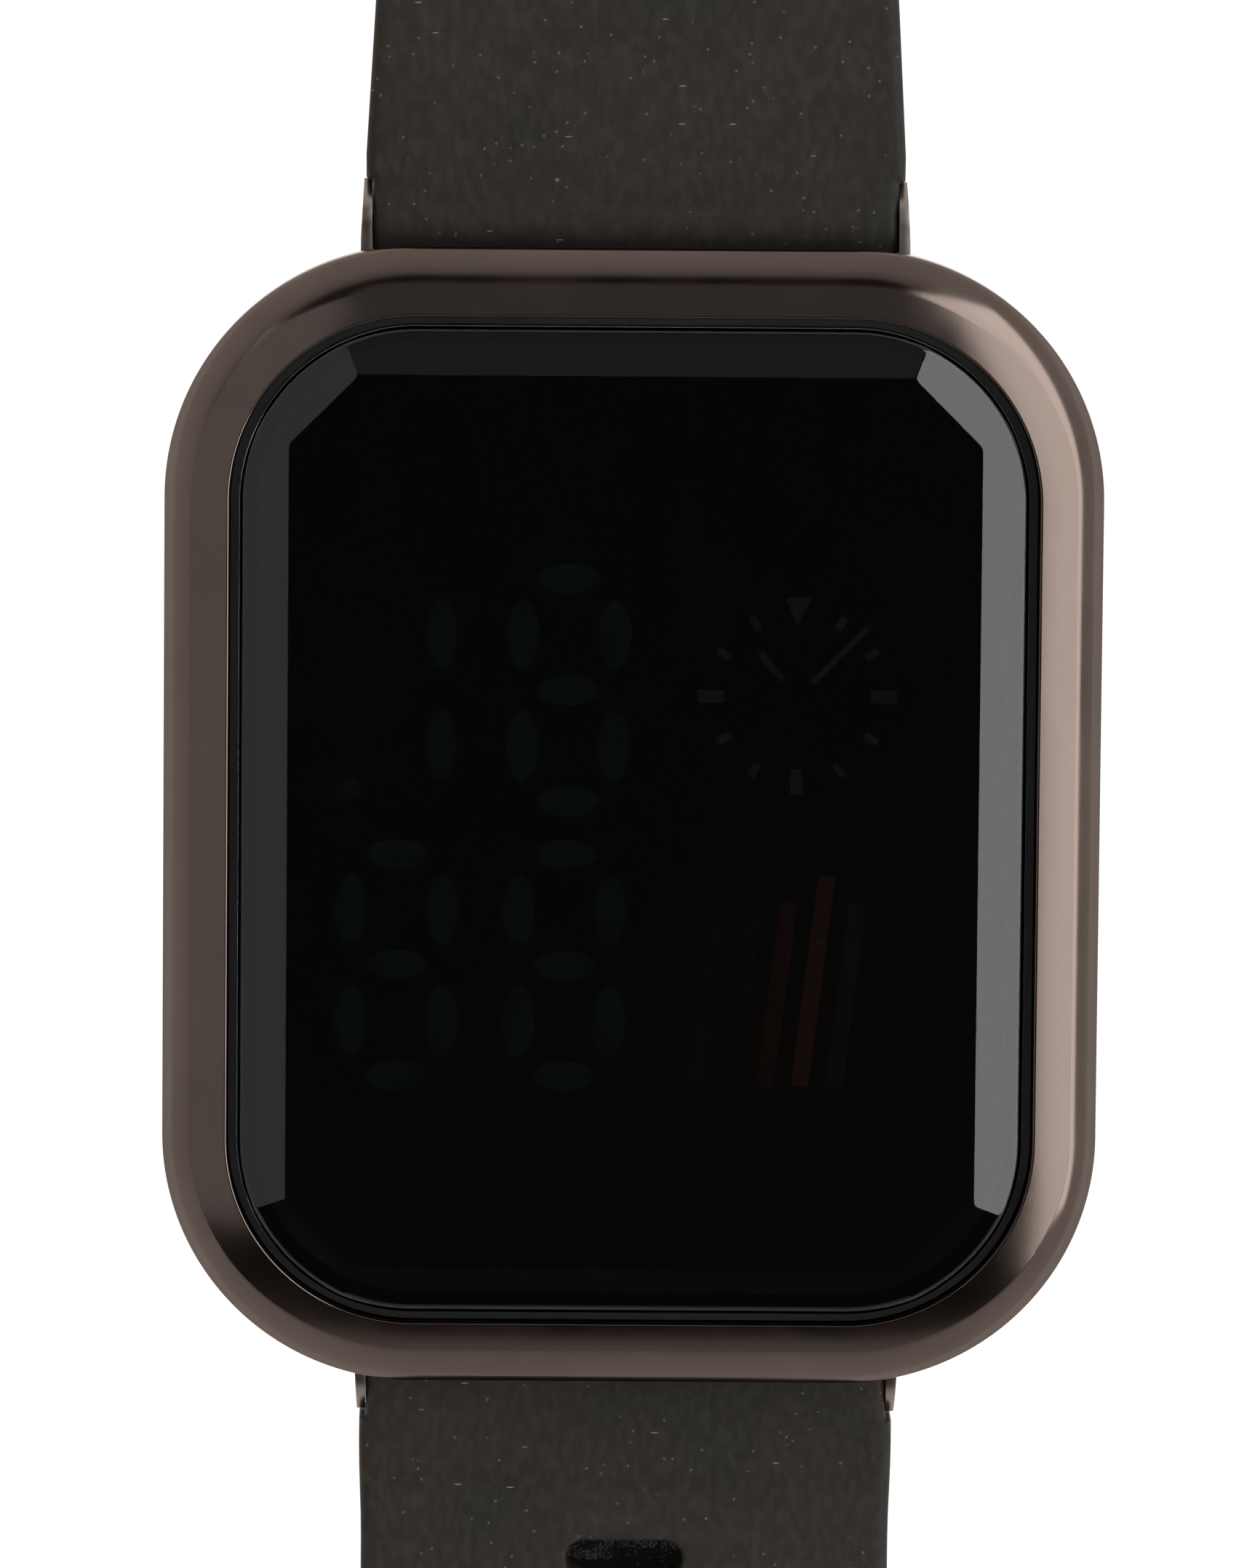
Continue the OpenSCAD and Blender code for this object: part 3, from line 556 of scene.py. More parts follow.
profile = arc((-0.75, widest), (0.75, widest - foot), -90, 0, 12)
profile += arc((-edge_r, widest), (edge_r, edge_r), 0, edge_angle, 8)[1:]
profile += arc(roll_centre, (roll_r, roll_r), edge_angle, crease_angle, 16)[1:]
crease_point = len(profile) - 1
profile += [(-crease_in - 0.05, crease_z + 0.012)]
profile += arc((-band_mm + rim_r, rim_top - rim_r), (rim_r, rim_r), 72, 180, 6)
profile += [(-band_mm, seat_top), (-seat_mm, seat_top), (-seat_mm, seat_foot)]
profile += [(-socket_mm, seat_foot), (-socket_mm, foot)]


def slide_weight(i, x):
    """How much of the crease's slide a profile point takes."""
    if i <= crease_point:
        return -x / crease_in if profile[i][1] > widest else 0
    return max(0, (band_mm + x) / (band_mm - crease_in)) if profile[i][1] > crease_z else 0


profile_mesh = bpy.data.meshes.new("bezel_profile")
count = len(profile)
around = [(i, (i + 1) % count) for i in range(count)]
profile_mesh.from_pydata([(x * MM, -z * MM, 0) for x, z in profile], around, [])
weights = profile_mesh.attributes.new("slide", "FLOAT", "POINT")
weights.data.foreach_set("value", [slide_weight(i, x) for i, (x, z) in enumerate(profile)])
print(f"{count} profile points, roll of radius {roll_r:.2f} mm, widest at {widest:.2f} mm")

# %% The bezel's tree
bezel_sizes = {
    "Width": case_w, "Height": case_h, "Corner radius": case_r, "Corner points": 48,
    "Slide at ends": 0.42 * MM,
}
tree, given = new_tree("bezel_sweep", bezel_sizes)
section = geo(tree, "MeshToCurve", {"Mesh": given["Geometry"]})
loop = geo(tree, "CurvePrimitiveQuadrilateral", {"Width": given["Width"], "Height": given["Height"]})
fillet = {"Curve": loop, "Radius": given["Corner radius"], "Count": given["Corner points"]}
loop = geo(tree, "FilletCurve", fillet, mode="POLY")
swept = geo(tree, "CurveToMesh", {"Curve": loop, "Profile Curve": section})


def vector_math(tree, operation, first, second=None):
    inputs = {0: first} if second is None else {0: first, 1: second}
    return shade(tree, "VectorMath", inputs, operation=operation)


half_w = shade(tree, "Math", {0: given["Width"], 1: 0.5}, operation="MULTIPLY")
half_h = shade(tree, "Math", {0: given["Height"], 1: 0.5}, operation="MULTIPLY")
core_w = math_node(tree, "SUBTRACT", half_w, given["Corner radius"])
core_h = math_node(tree, "SUBTRACT", half_h, given["Corner radius"])
core = shade(tree, "CombineXYZ", {0: core_w, 1: core_h, 2: 1.0})
place = geo(tree, "InputPosition")
nearest = vector_math(tree, "MINIMUM", place, core)
nearest = vector_math(tree, "MAXIMUM", nearest, vector_math(tree, "MULTIPLY", core, (-1, -1, -1)))
outward = vector_math(tree, "NORMALIZE", vector_math(tree, "SUBTRACT", place, nearest))
facing = add(tree, "SeparateXYZ", {0: outward}).outputs[1]
weight = geo(tree, "InputNamedAttribute", {"Name": "slide"}, data_type="FLOAT")
slide = math_node(tree, "MULTIPLY", math_node(tree, "MULTIPLY", facing, facing), given["Slide at ends"])
slide = math_node(tree, "MULTIPLY", slide, weight)
slide = math_node(tree, "MULTIPLY", slide, -1.0)
shift = shade(tree, "VectorMath", {0: outward, "Scale": slide}, operation="SCALE")
moved = geo(tree, "SetPosition", {"Geometry": swept, "Offset": shift})
close_tree(tree, moved, bezel_metal)

swept_ring = grow(tree, bezel_sizes, profile_mesh)
show("bezel_ring", swept_ring, "case", "bezel", bezel_metal, "bezel", sharp=12)

# %% [markdown]
# ## Crystal
# The crystal is ground flat with four side facets and four corner facets, and its edges are
# eased by polishing. A boolean would give knife edges, and a bevel would have to guess. Here the
# top is a height map instead: the lowest of nine planes, blended over a quarter millimetre, on
# rings that follow the outline, with a small round at the rim.

# %% Rings that follow a rounded rectangle
def ring(width, height, radius, inset, corner_points):
    """Points of a rounded rectangle, shrunk by inset."""
    centre_x, centre_y, r = width / 2 - radius, height / 2 - radius, radius - inset
    points = []
    for sx, sy, start in ((1, 1, 0), (-1, 1, 90), (-1, -1, 180), (1, -1, 270)):
        for i in range(corner_points + 1):
            turn = math.radians(start + 90 * i / corner_points)
            points.append((sx * centre_x + r * math.cos(turn), sy * centre_y + r * math.sin(turn)))
    return points


def loft(levels, name):
    """A closed mesh through rings of the same length, capped at both ends."""
    size = len(levels[0])
    points = [p for level in levels for p in level]
    faces = [tuple(reversed(range(size))), tuple((len(levels) - 1) * size + i for i in range(size))]
    for row in range(len(levels) - 1):
        here, above = row * size, (row + 1) * size
        faces += [(here + i, here + (i + 1) % size, above + (i + 1) % size, above + i) for i in range(size)]
    mesh = bpy.data.meshes.new(name)
    mesh.from_pydata(points, [], faces)
    return mesh


# %% The crystal's height map
facet_w, facet_drop, corner_cut = 2.0 * MM, 0.65 * MM, 2.8 * MM
slope = facet_drop / facet_w
flat_w, flat_h = crystal_w / 2 - facet_w, crystal_h / 2 - facet_w
diagonal = (flat_w + flat_h - corner_cut) / math.sqrt(2)
ease_depth, rim_round = 0.04 * MM, 0.28 * MM


def lower_of(a, b, blend):
    """The lower of two heights, rounded where they are close."""
    near = max(blend - abs(a - b), 0) / blend
    return min(a, b) - near * near * blend / 4


def crystal_top(x, y, inset):
    """Height of the crystal's polished top."""
    x, y = abs(x), abs(y)
    z = crystal_high.z
    for distance in (x - flat_w, y - flat_h, (x + y) / math.sqrt(2) - diagonal):
        z = lower_of(z, crystal_high.z - slope * distance, ease_depth)
    if inset < rim_round:
        z -= rim_round - math.sqrt(rim_round ** 2 - (rim_round - inset) ** 2)
    return z


insets = [rim_round * (1 - math.cos(math.radians(a))) for a in range(0, 91, 9)]
insets += [(0.4 + 0.1 * i) * MM for i in range(27)]
levels = [[(x, y, crystal_low.z) for x, y in ring(crystal_w, crystal_h, crystal_r, 0, 96)]]
for inset in insets:
    outline = ring(crystal_w, crystal_h, crystal_r, inset, 96)
    levels.append([(x, y, crystal_top(x, y, inset)) for x, y in outline])
cut_shape = loft(levels, "crystal")
show("cut_crystal", cut_shape, "case", "crystal", crystal_glass, "crystal", sharp=40)

# %% [markdown]
# ## Strap halves
# Each half is moulded rubber: an outline, a row of slots, a top and an underside that curve
# away from the case and thin out, and edges rounded by the mould. A box with a bevel can't
# follow that. The half is made as two height maps over one triangulated plan, whose thickness
# swells into a barrel at each pin. The round of an edge is a function of the distance to it.

# %% Side view of a strap half
strap_half_root, upper_half, lower_half, strap_end_half = 10.68, 10.95, 10.95, 10.0
root_t, strap_t, barrel_r = 3.2, 2.0, 1.8
shoulder = 1.95
upper_len = (pin.y - bar.y) / MM
lower_len = (-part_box("lower_strap")[0].y - bar.y) / MM
edge_round, slot_round = 0.42, 0.18


def eased(t):
    t = min(max(t, 0), 1)
    return t * t * (3 - 2 * t)


def strap_middle(y, curve, rise, flat_z):
    """Height of the middle of the rubber at y millimetres from the spring bar."""
    t = min(max(y / curve, 0), 1)
    return bar.z / MM + (flat_z - bar.z / MM) * eased(t) + rise * math.sin(math.pi * t) ** 2


def half_thickness(y, end=None):
    """Half the thickness at y, with a barrel at the spring bar and one at the end if it has a pin."""
    body = (root_t + (strap_t - root_t) * eased(y / 14)) / 2 if y >= 0 else 0
    if end is not None and y > end:
        body = 0
    rounds = [abs(y)] + ([abs(y - end)] if end is not None else [])
    return max([body] + [math.sqrt(barrel_r ** 2 - d ** 2) for d in rounds if d < barrel_r])


# %% Distance to the edges of a plan
def resample(points, step, closed=True):
    """A polyline with a point at least every step, and all its corners kept."""
    result = []
    for a, b in zip(points, points[1:] + points[:1] if closed else points[1:]):
        parts = max(1, math.ceil(math.dist(a, b) / step))
        step_x, step_y = (b[0] - a[0]) / parts, (b[1] - a[1]) / parts
        result += [(a[0] + step_x * i, a[1] + step_y * i) for i in range(parts)]
    return result if closed else result + [points[-1]]


def edges_of(loop):
    return [(a, b) for a, b in zip(loop, loop[1:] + loop[:1])]


def distance_to(points, edges):
    """Distance from each point to the nearest of the edges."""
    points = np.array(points, float).reshape(-1, 2)
    best = np.full(len(points), 1e9)
    for a, b in np.array(edges, float):
        along = b - a
        t = np.clip((points - a) @ along / max(along @ along, 1e-12), 0, 1)
        best = np.minimum(best, np.hypot(*(points - a - t[:, None] * along).T))
    return best


def is_inside(points, loop):
    """Whether each point is inside a closed loop."""
    points = np.array(points, float).reshape(-1, 2)
    inside = np.zeros(len(points), bool)
    for (ax, ay), (bx, by) in edges_of(loop):
        crosses = (ay > points[:, 1]) != (by > points[:, 1])
        if crosses.any():
            x = ax + (points[:, 1] - ay) * (bx - ax) / ((by - ay) or 1e-12)
            inside ^= crosses & (points[:, 0] < x)
    return inside


def offsets(loop, distances):
    """Points beside a loop's corners, on both sides of it, at some distances."""
    result = []
    for (ax, ay), (bx, by), (cx, cy) in zip(loop[-1:] + loop, loop, loop[1:] + loop[:1]):
        length = math.hypot(cx - ax, cy - ay)
        nx, ny = (cy - ay) / length, (ax - cx) / length
        result += [(bx + s * d * nx, by + s * d * ny) for d in distances for s in (-1, 1)]
    return result


# %% A strap half from its plan
def strap_body(outline, square_ends, slots, side, end=None):
    """Two height maps over the plan, and the walls between them, in millimetres.

    square_ends says which y values of the outline are barrels, whose edge needs no rounding.
    """
    loops = [outline] + slots
    ring_steps = [edge_round * (1 - cosine(a)) for a in (25, 45, 65, 90)] + [edge_round + 0.35]
    slot_steps = [slot_round * (1 - cosine(a)) for a in (35, 62, 90)] + [slot_round + 0.25]
    low_y, high_y = min(y for x, y in outline), max(y for x, y in outline)
    rows, columns = range(int(high_y - low_y)), range(-11, 12)
    grid = [(x + 0.013 * (i % 2), low_y + 0.5 + i) for i in rows for x in columns]
    for y in square_ends:
        grid += [(x, y + barrel_r * cosine(a)) for a in range(8, 173, 8) for x in columns]

    def is_barrel(edge):
        level = abs(edge[0][1] - edge[1][1]) < 1e-6
        return level and any(abs(abs(p[1] - y) - barrel_r) < 0.05 for y in square_ends for p in edge)

    rims = [e for e in edges_of(outline) if not is_barrel(e)]
    holes = [e for loop in slots for e in edges_of(loop)]
    near_rim = offsets(outline, ring_steps)
    near_holes = [p for loop in slots for p in offsets(loop, slot_steps)]

    def kept(points, rim_gap, hole_gap):
        good = is_inside(points, outline) & (distance_to(points, edges_of(outline)) > rim_gap)
        if holes:
            good &= distance_to(points, holes) > hole_gap
            for loop in slots:
                good &= ~is_inside(points, loop)
        return [p for p, g in zip(points, good) if g]

    extra = kept(near_rim, 0.9 * ring_steps[0], 0.3) + kept(near_holes, 0.3, 0.9 * slot_steps[0])
    extra += kept(grid, ring_steps[-1] + 0.2, slot_steps[-1] + 0.15)
    fixed = [p for loop in loops for p in loop]
    bonds, start = [], 0
    for loop in loops:
        bonds += [(start + i, start + (i + 1) % len(loop)) for i in range(len(loop))]
        start += len(loop)
    found = delaunay_2d_cdt([Vector(p) for p in fixed + extra], bonds, [], 0, 1e-5, True)
    plan, triangles, origin = found[0], found[2], found[3]
    middles = [tuple(sum((plan[i] for i in t), Vector((0, 0))) / 3) for t in triangles]
    good = is_inside(middles, outline)
    for loop in slots:
        good &= ~is_inside(middles, loop)
    triangles = [t for t, g in zip(triangles, good) if g]

    to_rim = distance_to([tuple(p) for p in plan], rims)
    to_hole = distance_to([tuple(p) for p in plan], holes) if holes else np.full(len(plan), 9.0)
    place_of = {}
    for i, sources in enumerate(origin):
        for source in sources:
            place_of[source] = i

    def drop(distance, radius):
        reach = max(radius - distance, 0)
        return radius - math.sqrt(max(radius ** 2 - reach ** 2, 0))

    top, under = [], []
    for i, p in enumerate(plan):
        half = half_thickness(p.y - bar.y / MM, end)
        middle = strap_middle(p.y - bar.y / MM, *side)
        eased_edge = max(drop(to_rim[i], edge_round), drop(to_hole[i], slot_round))
        half = max(half - eased_edge, min(half, 0.15))
        top.append((p.x, p.y, middle + half))
        under.append((p.x, p.y, middle - half))
    size = len(plan)
    faces = [tuple(t) for t in triangles] + [tuple(size + i for i in reversed(t)) for t in triangles]
    counts = {}
    for t in triangles:
        for a, b in zip(t, t[1:] + t[:1]):
            counts[(a, b)] = counts.get((a, b), 0) + 1
    for a, b in counts:
        if (b, a) not in counts:
            faces.append((b, a, size + a, size + b))
    shape = bmesh.new()
    vertices = [shape.verts.new(Vector(p) * MM) for p in top + under]
    for face in faces:
        shape.faces.new([vertices[i] for i in face])
    bmesh.ops.remove_doubles(shape, verts=shape.verts, dist=1e-7)
    bmesh.ops.dissolve_degenerate(shape, edges=shape.edges, dist=1e-7)
    loose = [v for v in shape.verts if not v.link_faces]
    bmesh.ops.delete(shape, geom=loose, context="VERTS")
    bmesh.ops.recalc_face_normals(shape, faces=shape.faces)
    return shape


def bored(shape, name, bores):
    """Drills holes along X through a shape. Each is y, z and radius in metres."""
    mesh = bpy.data.meshes.new(name)
    shape.to_mesh(mesh)
    shape.free()
    body = bpy.data.objects.new(name, mesh)
    bpy.context.scene.collection.objects.link(body)
    for y, z, radius in bores:
        drill = bmesh.new()
        turn = Matrix.Translation((0, y, z)) @ Matrix.Rotation(math.pi / 2, 4, "Y")
        size = {"segments": 48, "radius1": radius, "radius2": radius, "depth": 30 * MM}
        bmesh.ops.create_cone(drill, cap_ends=True, matrix=turn, **size)
        drill_mesh = bpy.data.meshes.new("drill")
        drill.to_mesh(drill_mesh)
        drill.free()
        tool = bpy.data.objects.new("drill", drill_mesh)
        bpy.context.scene.collection.objects.link(tool)
        cut = body.modifiers.new("bore", "BOOLEAN")
        cut.operation, cut.object, cut.solver = "DIFFERENCE", tool, "EXACT"
        result = bpy.data.meshes.new_from_object(body.evaluated_get(bpy.context.evaluated_depsgraph_get()))
        body.modifiers.clear()
        body.data = result
        bpy.data.objects.remove(tool)
    bpy.data.objects.remove(body)
    return result


# %% Outline of the buckle half
corner_turns = (0.4, 0.8, 1.2)


def mirrored_loop(right):
    """A closed loop from its right-hand points, which run away from the case."""
    return right + [(-x, y) for x, y in reversed(right)]


def root_points(half):
    """Right-hand points of the root between the lugs and the shoulder beyond them."""
    r = (half - strap_half_root) / 2
    x, y = strap_half_root + r, b + shoulder
    points = [(strap_half_root, b - barrel_r), (strap_half_root, y - r)]
    points += [(x - r * math.cos(t), y - r + r * math.sin(t)) for t in corner_turns]
    points += [(half - r, y)]
    points += [(half - r + r * math.sin(t), y + r - r * math.cos(t)) for t in corner_turns]
    return points + [(half, b + 3)]


b = bar.y / MM
pin_mm = pin.y / MM
notch_half, notch_depth, notch_r = 2.35, 3.4, 0.5
taper = [(strap_end_half, b + 20)]
strap_end = [(strap_end_half, pin_mm + barrel_r)]
notch_end = pin_mm - notch_depth
x, y = notch_half - notch_r, notch_end + notch_r
notch = [(notch_half, pin_mm + barrel_r), (notch_half, y)]
notch += [(x + notch_r * math.cos(t), y - notch_r * math.sin(t)) for t in corner_turns]
notch += [(x, notch_end)]
upper_outline = resample(mirrored_loop(root_points(upper_half) + taper + strap_end + notch), 0.4)

shape = strap_body(upper_outline, (b, pin_mm), [], (24, 1.1, 2.25), upper_len)
mesh = bored(shape, "strap_upper", [(bar.y, bar.z, 0.8 * MM), (pin.y, pin.z, 0.8 * MM)])
show("strap_upper", mesh, "upper_strap", "strap", strap_rubber, "upper_strap", sharp=55)

# %% Outline and slots of the slotted half
middle_half = lower_half - 0.1
neck = [(lower_half + (middle_half - lower_half) * eased(i / 4), b + 3 + i) for i in range(1, 5)]
narrowing = strap_end_half - middle_half
taper = [(middle_half + narrowing * eased(i / 10), b + 34 + 2.4 * i) for i in range(11)]
nose_len = 13
nose_y = b + lower_len - nose_len
nose = [(strap_end_half * cosine(a), nose_y + nose_len * sine(a)) for a in range(0, 90, 4)]
nose += [(0.35, b + lower_len)]
lower_outline = resample(mirrored_loop(root_points(lower_half) + neck + taper + nose), 0.4)

slot_length, slot_width, slot_pitch, slot_count = 4.8, 1.5, 6.5, 15
slot_start = case_h / 2 / MM + 8.2


def stadium(y):
    """Outline of a slot, which lies across the strap."""
    r, reach = slot_width / 2, (slot_length - slot_width) / 2
    ends = [(sx * reach + r * cosine(a), y + r * sine(a))
            for sx, first in ((1, -90), (-1, 90)) for a in range(first, first + 181, 15)]
    return resample(ends, 0.35)


slots = [stadium(slot_start + i * slot_pitch) for i in range(slot_count)]
shape = strap_body(lower_outline, (b,), slots, (48, 2.2, 1.0))
bmesh.ops.rotate(shape, verts=shape.verts, cent=(0, 0, 0), matrix=Matrix.Rotation(math.pi, 3, "Z"))
mesh = bored(shape, "strap_lower", [(-bar.y, bar.z, 0.8 * MM)])
show("strap_lower", mesh, "lower_strap", "strap", strap_rubber, "lower_strap", sharp=55)

# %% [markdown]
# ## Print on the film
# The screen is an LED display behind smoked film, so almost nothing of it shows when it is off:
# teal lenses where the segments are, a small printed dial and a fan of coloured bars. The marks
# are real plates a hundredth or two of a millimetre thick, between the film and the crystal. The
# lenses are one disc on points, each with its own size, and every stroke is a flattened tube
# along an edge, so Geometry Nodes draw both kinds. Hour marks stand in for numerals.

# %% Inks
def ink(name, stops, lean=0.12):
    """Dull ink whose colour changes in steps along X, with the steps leaning as the bars do."""
    material, tree, sockets = finish(name, Roughness=0.55, Specular_IOR_Level=0.0)
    coords = add(tree, "TexCoord").outputs["Object"]
    leaning = {0: coords, 1: (1 / MM, -lean / MM, 0)}
    across = shade(tree, "VectorMath", leaning, output="Value", operation="DOT_PRODUCT")
    colour = stops[0][1]
    for start, next_colour in stops[1:]:
        colour = mix(tree, math_node(tree, "GREATER_THAN", across, start), colour, next_colour)
    worn = between(tree, grain(tree, 0.25, 3.0), 0.0, 0.45)
    wire(tree, sockets["Base Color"], mix(tree, worn, colour, (0.0008, 0.0008, 0.0009)))
    return material


teal_ink = ink("teal_ink", [(0, (0.0026, 0.0064, 0.0056))])
grey_ink = ink("grey_ink", [(0, (0.0105, 0.0092, 0.0098))])
bar_inks = ink("bar_inks", [
    (0, (0.0036, 0.0032, 0.0027)), (4.75, (0.0042, 0.0022, 0.0018)), (6.1, (0.0100, 0.0030, 0.0026)),
    (7.5, (0.0150, 0.0060, 0.0027)), (8.95, (0.0040, 0.0048, 0.0040)), (10.4, (0.0042, 0.0021, 0.0016)),
])

# %% Lenses over the segments
film_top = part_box("dial_film")[1].z
print_level = (film_top + crystal_low.z) / 2
digit_half_w, digit_arm = 1.85, 4.55
all_seven = "abcdefg"
digit_centres = [
    (-9.6, 5.3, "bc"), (-2.6, 5.3, all_seven), (-9.5, -6.0, all_seven), (-2.7, -6.0, all_seven),
]
segment_spots = {
    "a": (0, 1, 0), "b": (1, 0.5, 1), "c": (1, -0.5, 1), "d": (0, -1, 0),
    "e": (-1, -0.5, 1), "f": (-1, 0.5, 1), "g": (0, 0, 0),
}
flat_lens, tall_lens, dot_lens = (1.25, 0.62), (0.66, 1.45), (0.5, 0.5)
lenses = [((-11.5, 1.2), dot_lens)]
for x, y, lit_segments in digit_centres:
    for sx, sy, upright in (segment_spots[key] for key in lit_segments):
        lenses.append(((x + sx * digit_half_w, y + sy * digit_arm), tall_lens if upright else flat_lens))

lens_points = bpy.data.meshes.new("lens_points")
lens_points.from_pydata([(x * MM, y * MM, print_level) for (x, y), _ in lenses], [], [])
lens_size = lens_points.attributes.new("size", "FLOAT_VECTOR", "POINT")
lens_size.data.foreach_set("vector", [v for _, size in lenses for v in (*size, 1.0)])

lens_sizes = {"Sides": 32, "Unit": MM, "Thickness": 0.02 * MM}
tree, given = new_tree("segment_lenses", lens_sizes)
disc_inputs = {"Vertices": given["Sides"], "Radius": given["Unit"], "Depth": given["Thickness"]}
disc = geo(tree, "MeshCylinder", disc_inputs)
scale = geo(tree, "InputNamedAttribute", {"Name": "size"}, data_type="FLOAT_VECTOR")
copies = {"Points": given["Geometry"], "Instance": disc, "Scale": scale}
close_tree(tree, geo(tree, "InstanceOnPoints", copies), teal_ink)
show("segment_lenses", grow(tree, lens_sizes, lens_points), "case", "film", teal_ink)

# %% Strokes of the dial and the bars
stroke_sizes = {"Sides": 12, "Unit": MM, "Flattening": 0.03}
tree, given = new_tree("printed_strokes", stroke_sizes)
lines = geo(tree, "MeshToCurve", {"Mesh": given["Geometry"]})
width = geo(tree, "InputNamedAttribute", {"Name": "width"}, data_type="FLOAT")
round_inputs = {"Resolution": given["Sides"], "Radius": given["Unit"]}
around = geo(tree, "CurvePrimitiveCircle", round_inputs)
sweep = {"Curve": lines, "Profile Curve": around, "Scale": width, "Fill Caps": True}
tubes = geo(tree, "CurveToMesh", sweep)
squash = shade(tree, "CombineXYZ", {0: 1.0, 1: 1.0, 2: given["Flattening"]})
flat = geo(tree, "Transform", {"Geometry": tubes, "Scale": squash})
close_tree(tree, flat, grey_ink)


def draw_strokes(name, strokes, material):
    """Flat strokes, each given by two points and the half widths there."""
    points = [(x * MM, y * MM, 0) for stroke in strokes for x, y, half in stroke]
    mesh = bpy.data.meshes.new(name)
    mesh.from_pydata(points, [(2 * i, 2 * i + 1) for i in range(len(strokes))], [])
    halves = mesh.attributes.new("width", "FLOAT", "POINT")
    halves.data.foreach_set("value", [half for stroke in strokes for x, y, half in stroke])
    mesh = grow(tree, stroke_sizes, mesh)
    mesh.transform(Matrix.Translation((0, 0, print_level)))
    return show(name, mesh, "case", "film", material)


dial_x, dial_y, dial_r = 6.66, 5.1, 3.5
dial = [((0, 0.85 * dial_r, 0.04), (0, 1.16 * dial_r, 0.55))]
for hour in range(1, 12):
    turn = math.radians(30 * hour)
    inner, outer, half = (0.85, 1.15, 0.26) if hour % 3 == 0 else (0.90, 1.08, 0.17)
    x, y = dial_r * math.sin(turn), dial_r * math.cos(turn)
    dial.append(((inner * x, inner * y, half), (outer * x, outer * y, half)))
dial += [((-0.55, 0.65, 0.14), (-1.55, 1.8, 0.14)), ((0.55, 0.55, 0.12), (2.95, 2.95, 0.12))]
dial = [tuple((x + dial_x, y + dial_y, half) for x, y, half in stroke) for stroke in dial]
draw_strokes("printed_dial", dial, grey_ink)

bar_foot, bar_half, bar_lean = -10.9, 0.35, 0.12
bar_tops = [(2.7, -3.7), (4.1, -3.85), (5.5, -3.3), (6.9, -2.25), (8.3, -3.4), (9.75, -4.3)]
fan = [((x, bar_foot, bar_half), (x + bar_lean * (top - bar_foot), top, bar_half)) for x, top in bar_tops]
draw_strokes("printed_bars", fan, bar_inks)

# %% [markdown]
# ## Metal and rubber parts with eased edges
# The housing, buckle, button and keepers are right in the frame, but their edges are knife
# sharp, and no moulded or polished part has such edges. A copy of each one is merged, its flat
# faces are joined up again, and only its real edges are rounded, so they catch a line of light.

# %% A copy of a CAD node with its edges rounded
def refined(node, width, angle=28, segments=3):
    """A merged copy of a CAD node's mesh, with the edges sharper than angle rounded."""
    shape = bmesh.new()
    shape.from_mesh(frame["nodes"][node].data)
    bmesh.ops.remove_doubles(shape, verts=shape.verts, dist=2e-6)
    bmesh.ops.dissolve_degenerate(shape, edges=shape.edges, dist=2e-6)
    bmesh.ops.dissolve_limit(shape, angle_limit=math.radians(1.5), verts=shape.verts, edges=shape.edges)
    edges = [e for e in shape.edges if e.is_manifold and e.calc_face_angle() > math.radians(angle)]
    rounding = {"offset": width * MM, "segments": segments, "profile": 0.5, "clamp_overlap": True}
    bmesh.ops.bevel(shape, geom=edges, affect="EDGES", **rounding)
    bmesh.ops.triangulate(shape, faces=[f for f in shape.faces if len(f.verts) > 4])
    mesh = bpy.data.meshes.new(node)
    shape.to_mesh(mesh)
    shape.free()
    return mesh


eased_parts = (
    ("housing", "mid_case", 0.10, "case", "housing", case_metal),
    ("back_plate", "case_back", 0.10, "case", "steel", back_steel),
    ("side_button", "push_button", 0.22, "button", "button", case_metal),
    ("keeper_fixed", "fixed_keeper", 0.25, "upper_strap", "strap", strap_rubber),
    ("keeper_free", "free_keeper", 0.25, "free_keeper", "strap", strap_rubber),
    ("buckle_loop", "buckle_frame", 0.35, "buckle", "buckle", buckle_metal),
    ("buckle_prong", "buckle_tongue", 0.22, "tongue", "buckle", buckle_metal),
    ("pin_rod", "buckle_pin", 0.12, "buckle", "steel", turned_steel),
)
for name, node, width, body, slot, material in eased_parts:
    show(name, refined(node, width), body, slot, material, node, sharp=40)

# %% [markdown]
# ## Springs
# A coil spring is a helix with a round section, which Geometry Nodes draw from four sizes: how
# many turns, how wide, how thick the wire and how long. One tree makes them all.

# %% The spring's tree
spring_sizes = {
    "Turns": 4.0, "Radius": 0.96 * MM, "Wire radius": 0.09 * MM, "Length": 1.28 * MM,
    "Start": (0.0, 0.0, 0.0),
}
tree, given = new_tree("coil_spring", spring_sizes)
helix = {
    "Resolution": 20, "Rotations": given["Turns"], "Height": given["Length"],
    "Start Radius": given["Radius"], "End Radius": given["Radius"],
}
line = geo(tree, "CurveSpiral", helix)
wire_section = {"Resolution": 8, "Radius": given["Wire radius"]}
section = geo(tree, "CurvePrimitiveCircle", wire_section)
coil = geo(tree, "CurveToMesh", {"Curve": line, "Profile Curve": section, "Fill Caps": True})
laid = {"Geometry": coil, "Rotation": (0, math.pi / 2, 0), "Translation": given["Start"]}
coil = geo(tree, "Transform", laid)
close_tree(tree, coil, spring_steel)


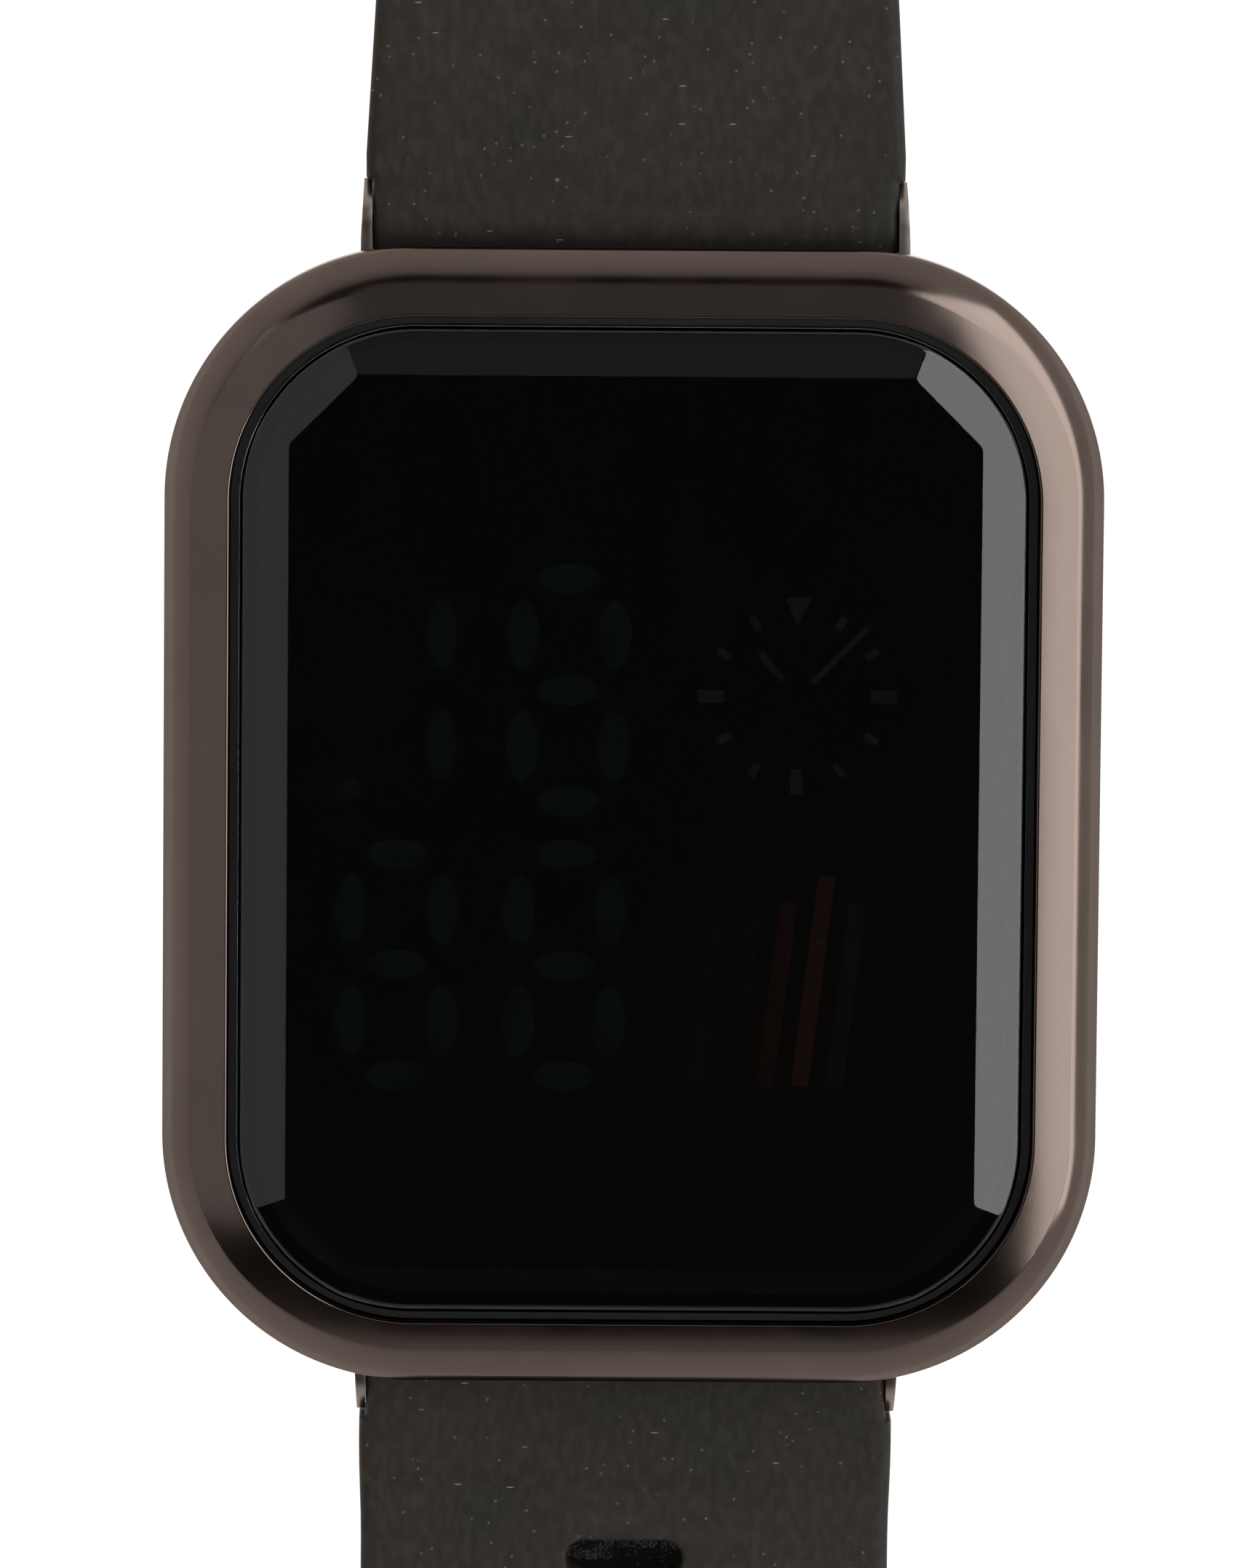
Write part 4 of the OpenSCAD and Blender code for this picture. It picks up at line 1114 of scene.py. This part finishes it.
def add_spring(name, node, reach, turns, radius, wire_radius):
    """One spring, or a part of one, from the first to the second X of reach."""
    low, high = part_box(node)
    middle = (low + high) / 2
    own = {
        "Turns": turns, "Radius": radius * MM, "Wire radius": wire_radius * MM,
        "Length": reach[1] - reach[0] - 2 * wire_radius * MM,
        "Start": (reach[0] + wire_radius * MM, middle.y, middle.z),
    }
    return show(name, grow(tree, own), "case", "steel", spring_steel, node, sharp=60)


# %% [markdown]
# A spring shortens when its plunger moves in. The button's spring rides on the case with a mesh
# of its own. A spring bar has two tips, so its spring is drawn as two halves, one on each side
# of the middle, each with a mesh of its own.

# %% Springs, each with a mesh of its own
low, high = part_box("button_spring")
button_coil = add_spring("spring_button", "button_spring", (low.x, high.x), 4.0, 0.96, 0.09)
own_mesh(button_coil)

for half in ("upper", "lower"):
    low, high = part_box(f"{half}_bar_spring")
    for side, reach in (("left", (low.x, 0)), ("right", (0, high.x))):
        coil = add_spring(f"spring_{half}_bar_{side}", f"{half}_bar_spring", reach, 6.5, 0.36, 0.08)
        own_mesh(coil)

# %% [markdown]
# ## Case back screws
# Four equal screws are one turned shape put at four points. The head's cross is cut once, the
# tree sets the copies out on a grid, and each is turned a little, as a hand leaves them.

# %% One screw
def circle_level(radius, z, sides=32):
    turns = [2 * math.pi * i / sides for i in range(sides)]
    return [(radius * math.cos(t), radius * math.sin(t), z) for t in turns]


head_r, head_z, shank_z = 1.2, 0.7, 4.1
threads = [(0.69 if i % 2 else 0.58, head_z + 0.15 + 0.14 * i) for i in range(23)]
head = [(1.06, 0.1), (1.16, 0.14), (head_r, 0.24), (head_r, head_z), (0.62, head_z + 0.01)]
turned = head + threads + [(0.4, shank_z)]
screw_mesh = loft([circle_level(r * MM, z * MM) for r, z in turned], "screw")
screw = bpy.data.objects.new("screw", screw_mesh)
bpy.context.scene.collection.objects.link(screw)
cross = bmesh.new()
for size in ((1.5, 0.32), (0.32, 1.5)):
    scale = Matrix.Diagonal((size[0] * MM, size[1] * MM, 0.6 * MM, 1))
    bmesh.ops.create_cube(cross, size=1, matrix=Matrix.Translation((0, 0, 0.1 * MM)) @ scale)
cross_mesh = bpy.data.meshes.new("cross")
cross.to_mesh(cross_mesh)
cross.free()
cutter = bpy.data.objects.new("cross", cross_mesh)
bpy.context.scene.collection.objects.link(cutter)
cut = screw.modifiers.new("cross", "BOOLEAN")
cut.operation, cut.object, cut.solver, cut.use_self = "DIFFERENCE", cutter, "EXACT", True
one_screw = bpy.data.meshes.new_from_object(screw.evaluated_get(bpy.context.evaluated_depsgraph_get()))
bpy.data.objects.remove(screw)
bpy.data.objects.remove(cutter)

# %% Four screws on a grid
screw_low, screw_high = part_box("back_screws")
screw_sizes = {
    "Spacing across": screw_high.x - screw_low.x - 2 * head_r * MM,
    "Spacing along": screw_high.y - screw_low.y - 2 * head_r * MM, "Turn": 0.7,
}
tree, given = new_tree("screw_grid", screw_sizes)
grid_inputs = {
    "Size X": given["Spacing across"], "Size Y": given["Spacing along"], "Vertices X": 2, "Vertices Y": 2,
}
corners = geo(tree, "MeshGrid", grid_inputs)
index = geo(tree, "InputIndex")
turn_z = math_node(tree, "MULTIPLY", index, given["Turn"])
turn = shade(tree, "CombineXYZ", {2: turn_z})
copies = {"Points": corners, "Instance": given["Geometry"], "Rotation": turn}
screws = geo(tree, "InstanceOnPoints", copies)
close_tree(tree, screws, turned_steel)
show("screws", grow(tree, screw_sizes, one_screw), "case", "steel", turned_steel, "back_screws")

# %% Finish of the carried-over parts
plain = {
    "crystal_gasket": seal_rubber, "dial_film": smoked_film, "segment_mask": mask_plastic,
    "segment_diffusers": diffuser_resin, "led_chips": led_resin, "circuit_board": board_mask,
    "driver_chip": chip_epoxy, "timing_crystal": cell_steel, "chip_resistors": chip_epoxy,
    "tact_switch": black_plastic, "battery_cell": cell_steel, "battery_holder": spacer_plastic,
    "battery_strap": strap_metal, "negative_contact": contact_metal, "back_gasket": seal_rubber,
    "button_clip": spring_steel, "switch_plunger": turned_steel, "button_seal": seal_rubber,
    "upper_bar_tube": turned_steel, "lower_bar_tube": turned_steel,
    "upper_bar_tip_left": turned_steel, "upper_bar_tip_right": turned_steel,
    "lower_bar_tip_left": turned_steel, "lower_bar_tip_right": turned_steel,
}
for name, material in plain.items():
    node = frame["nodes"][name]
    node.data.materials.clear()
    node.data.materials.append(material)
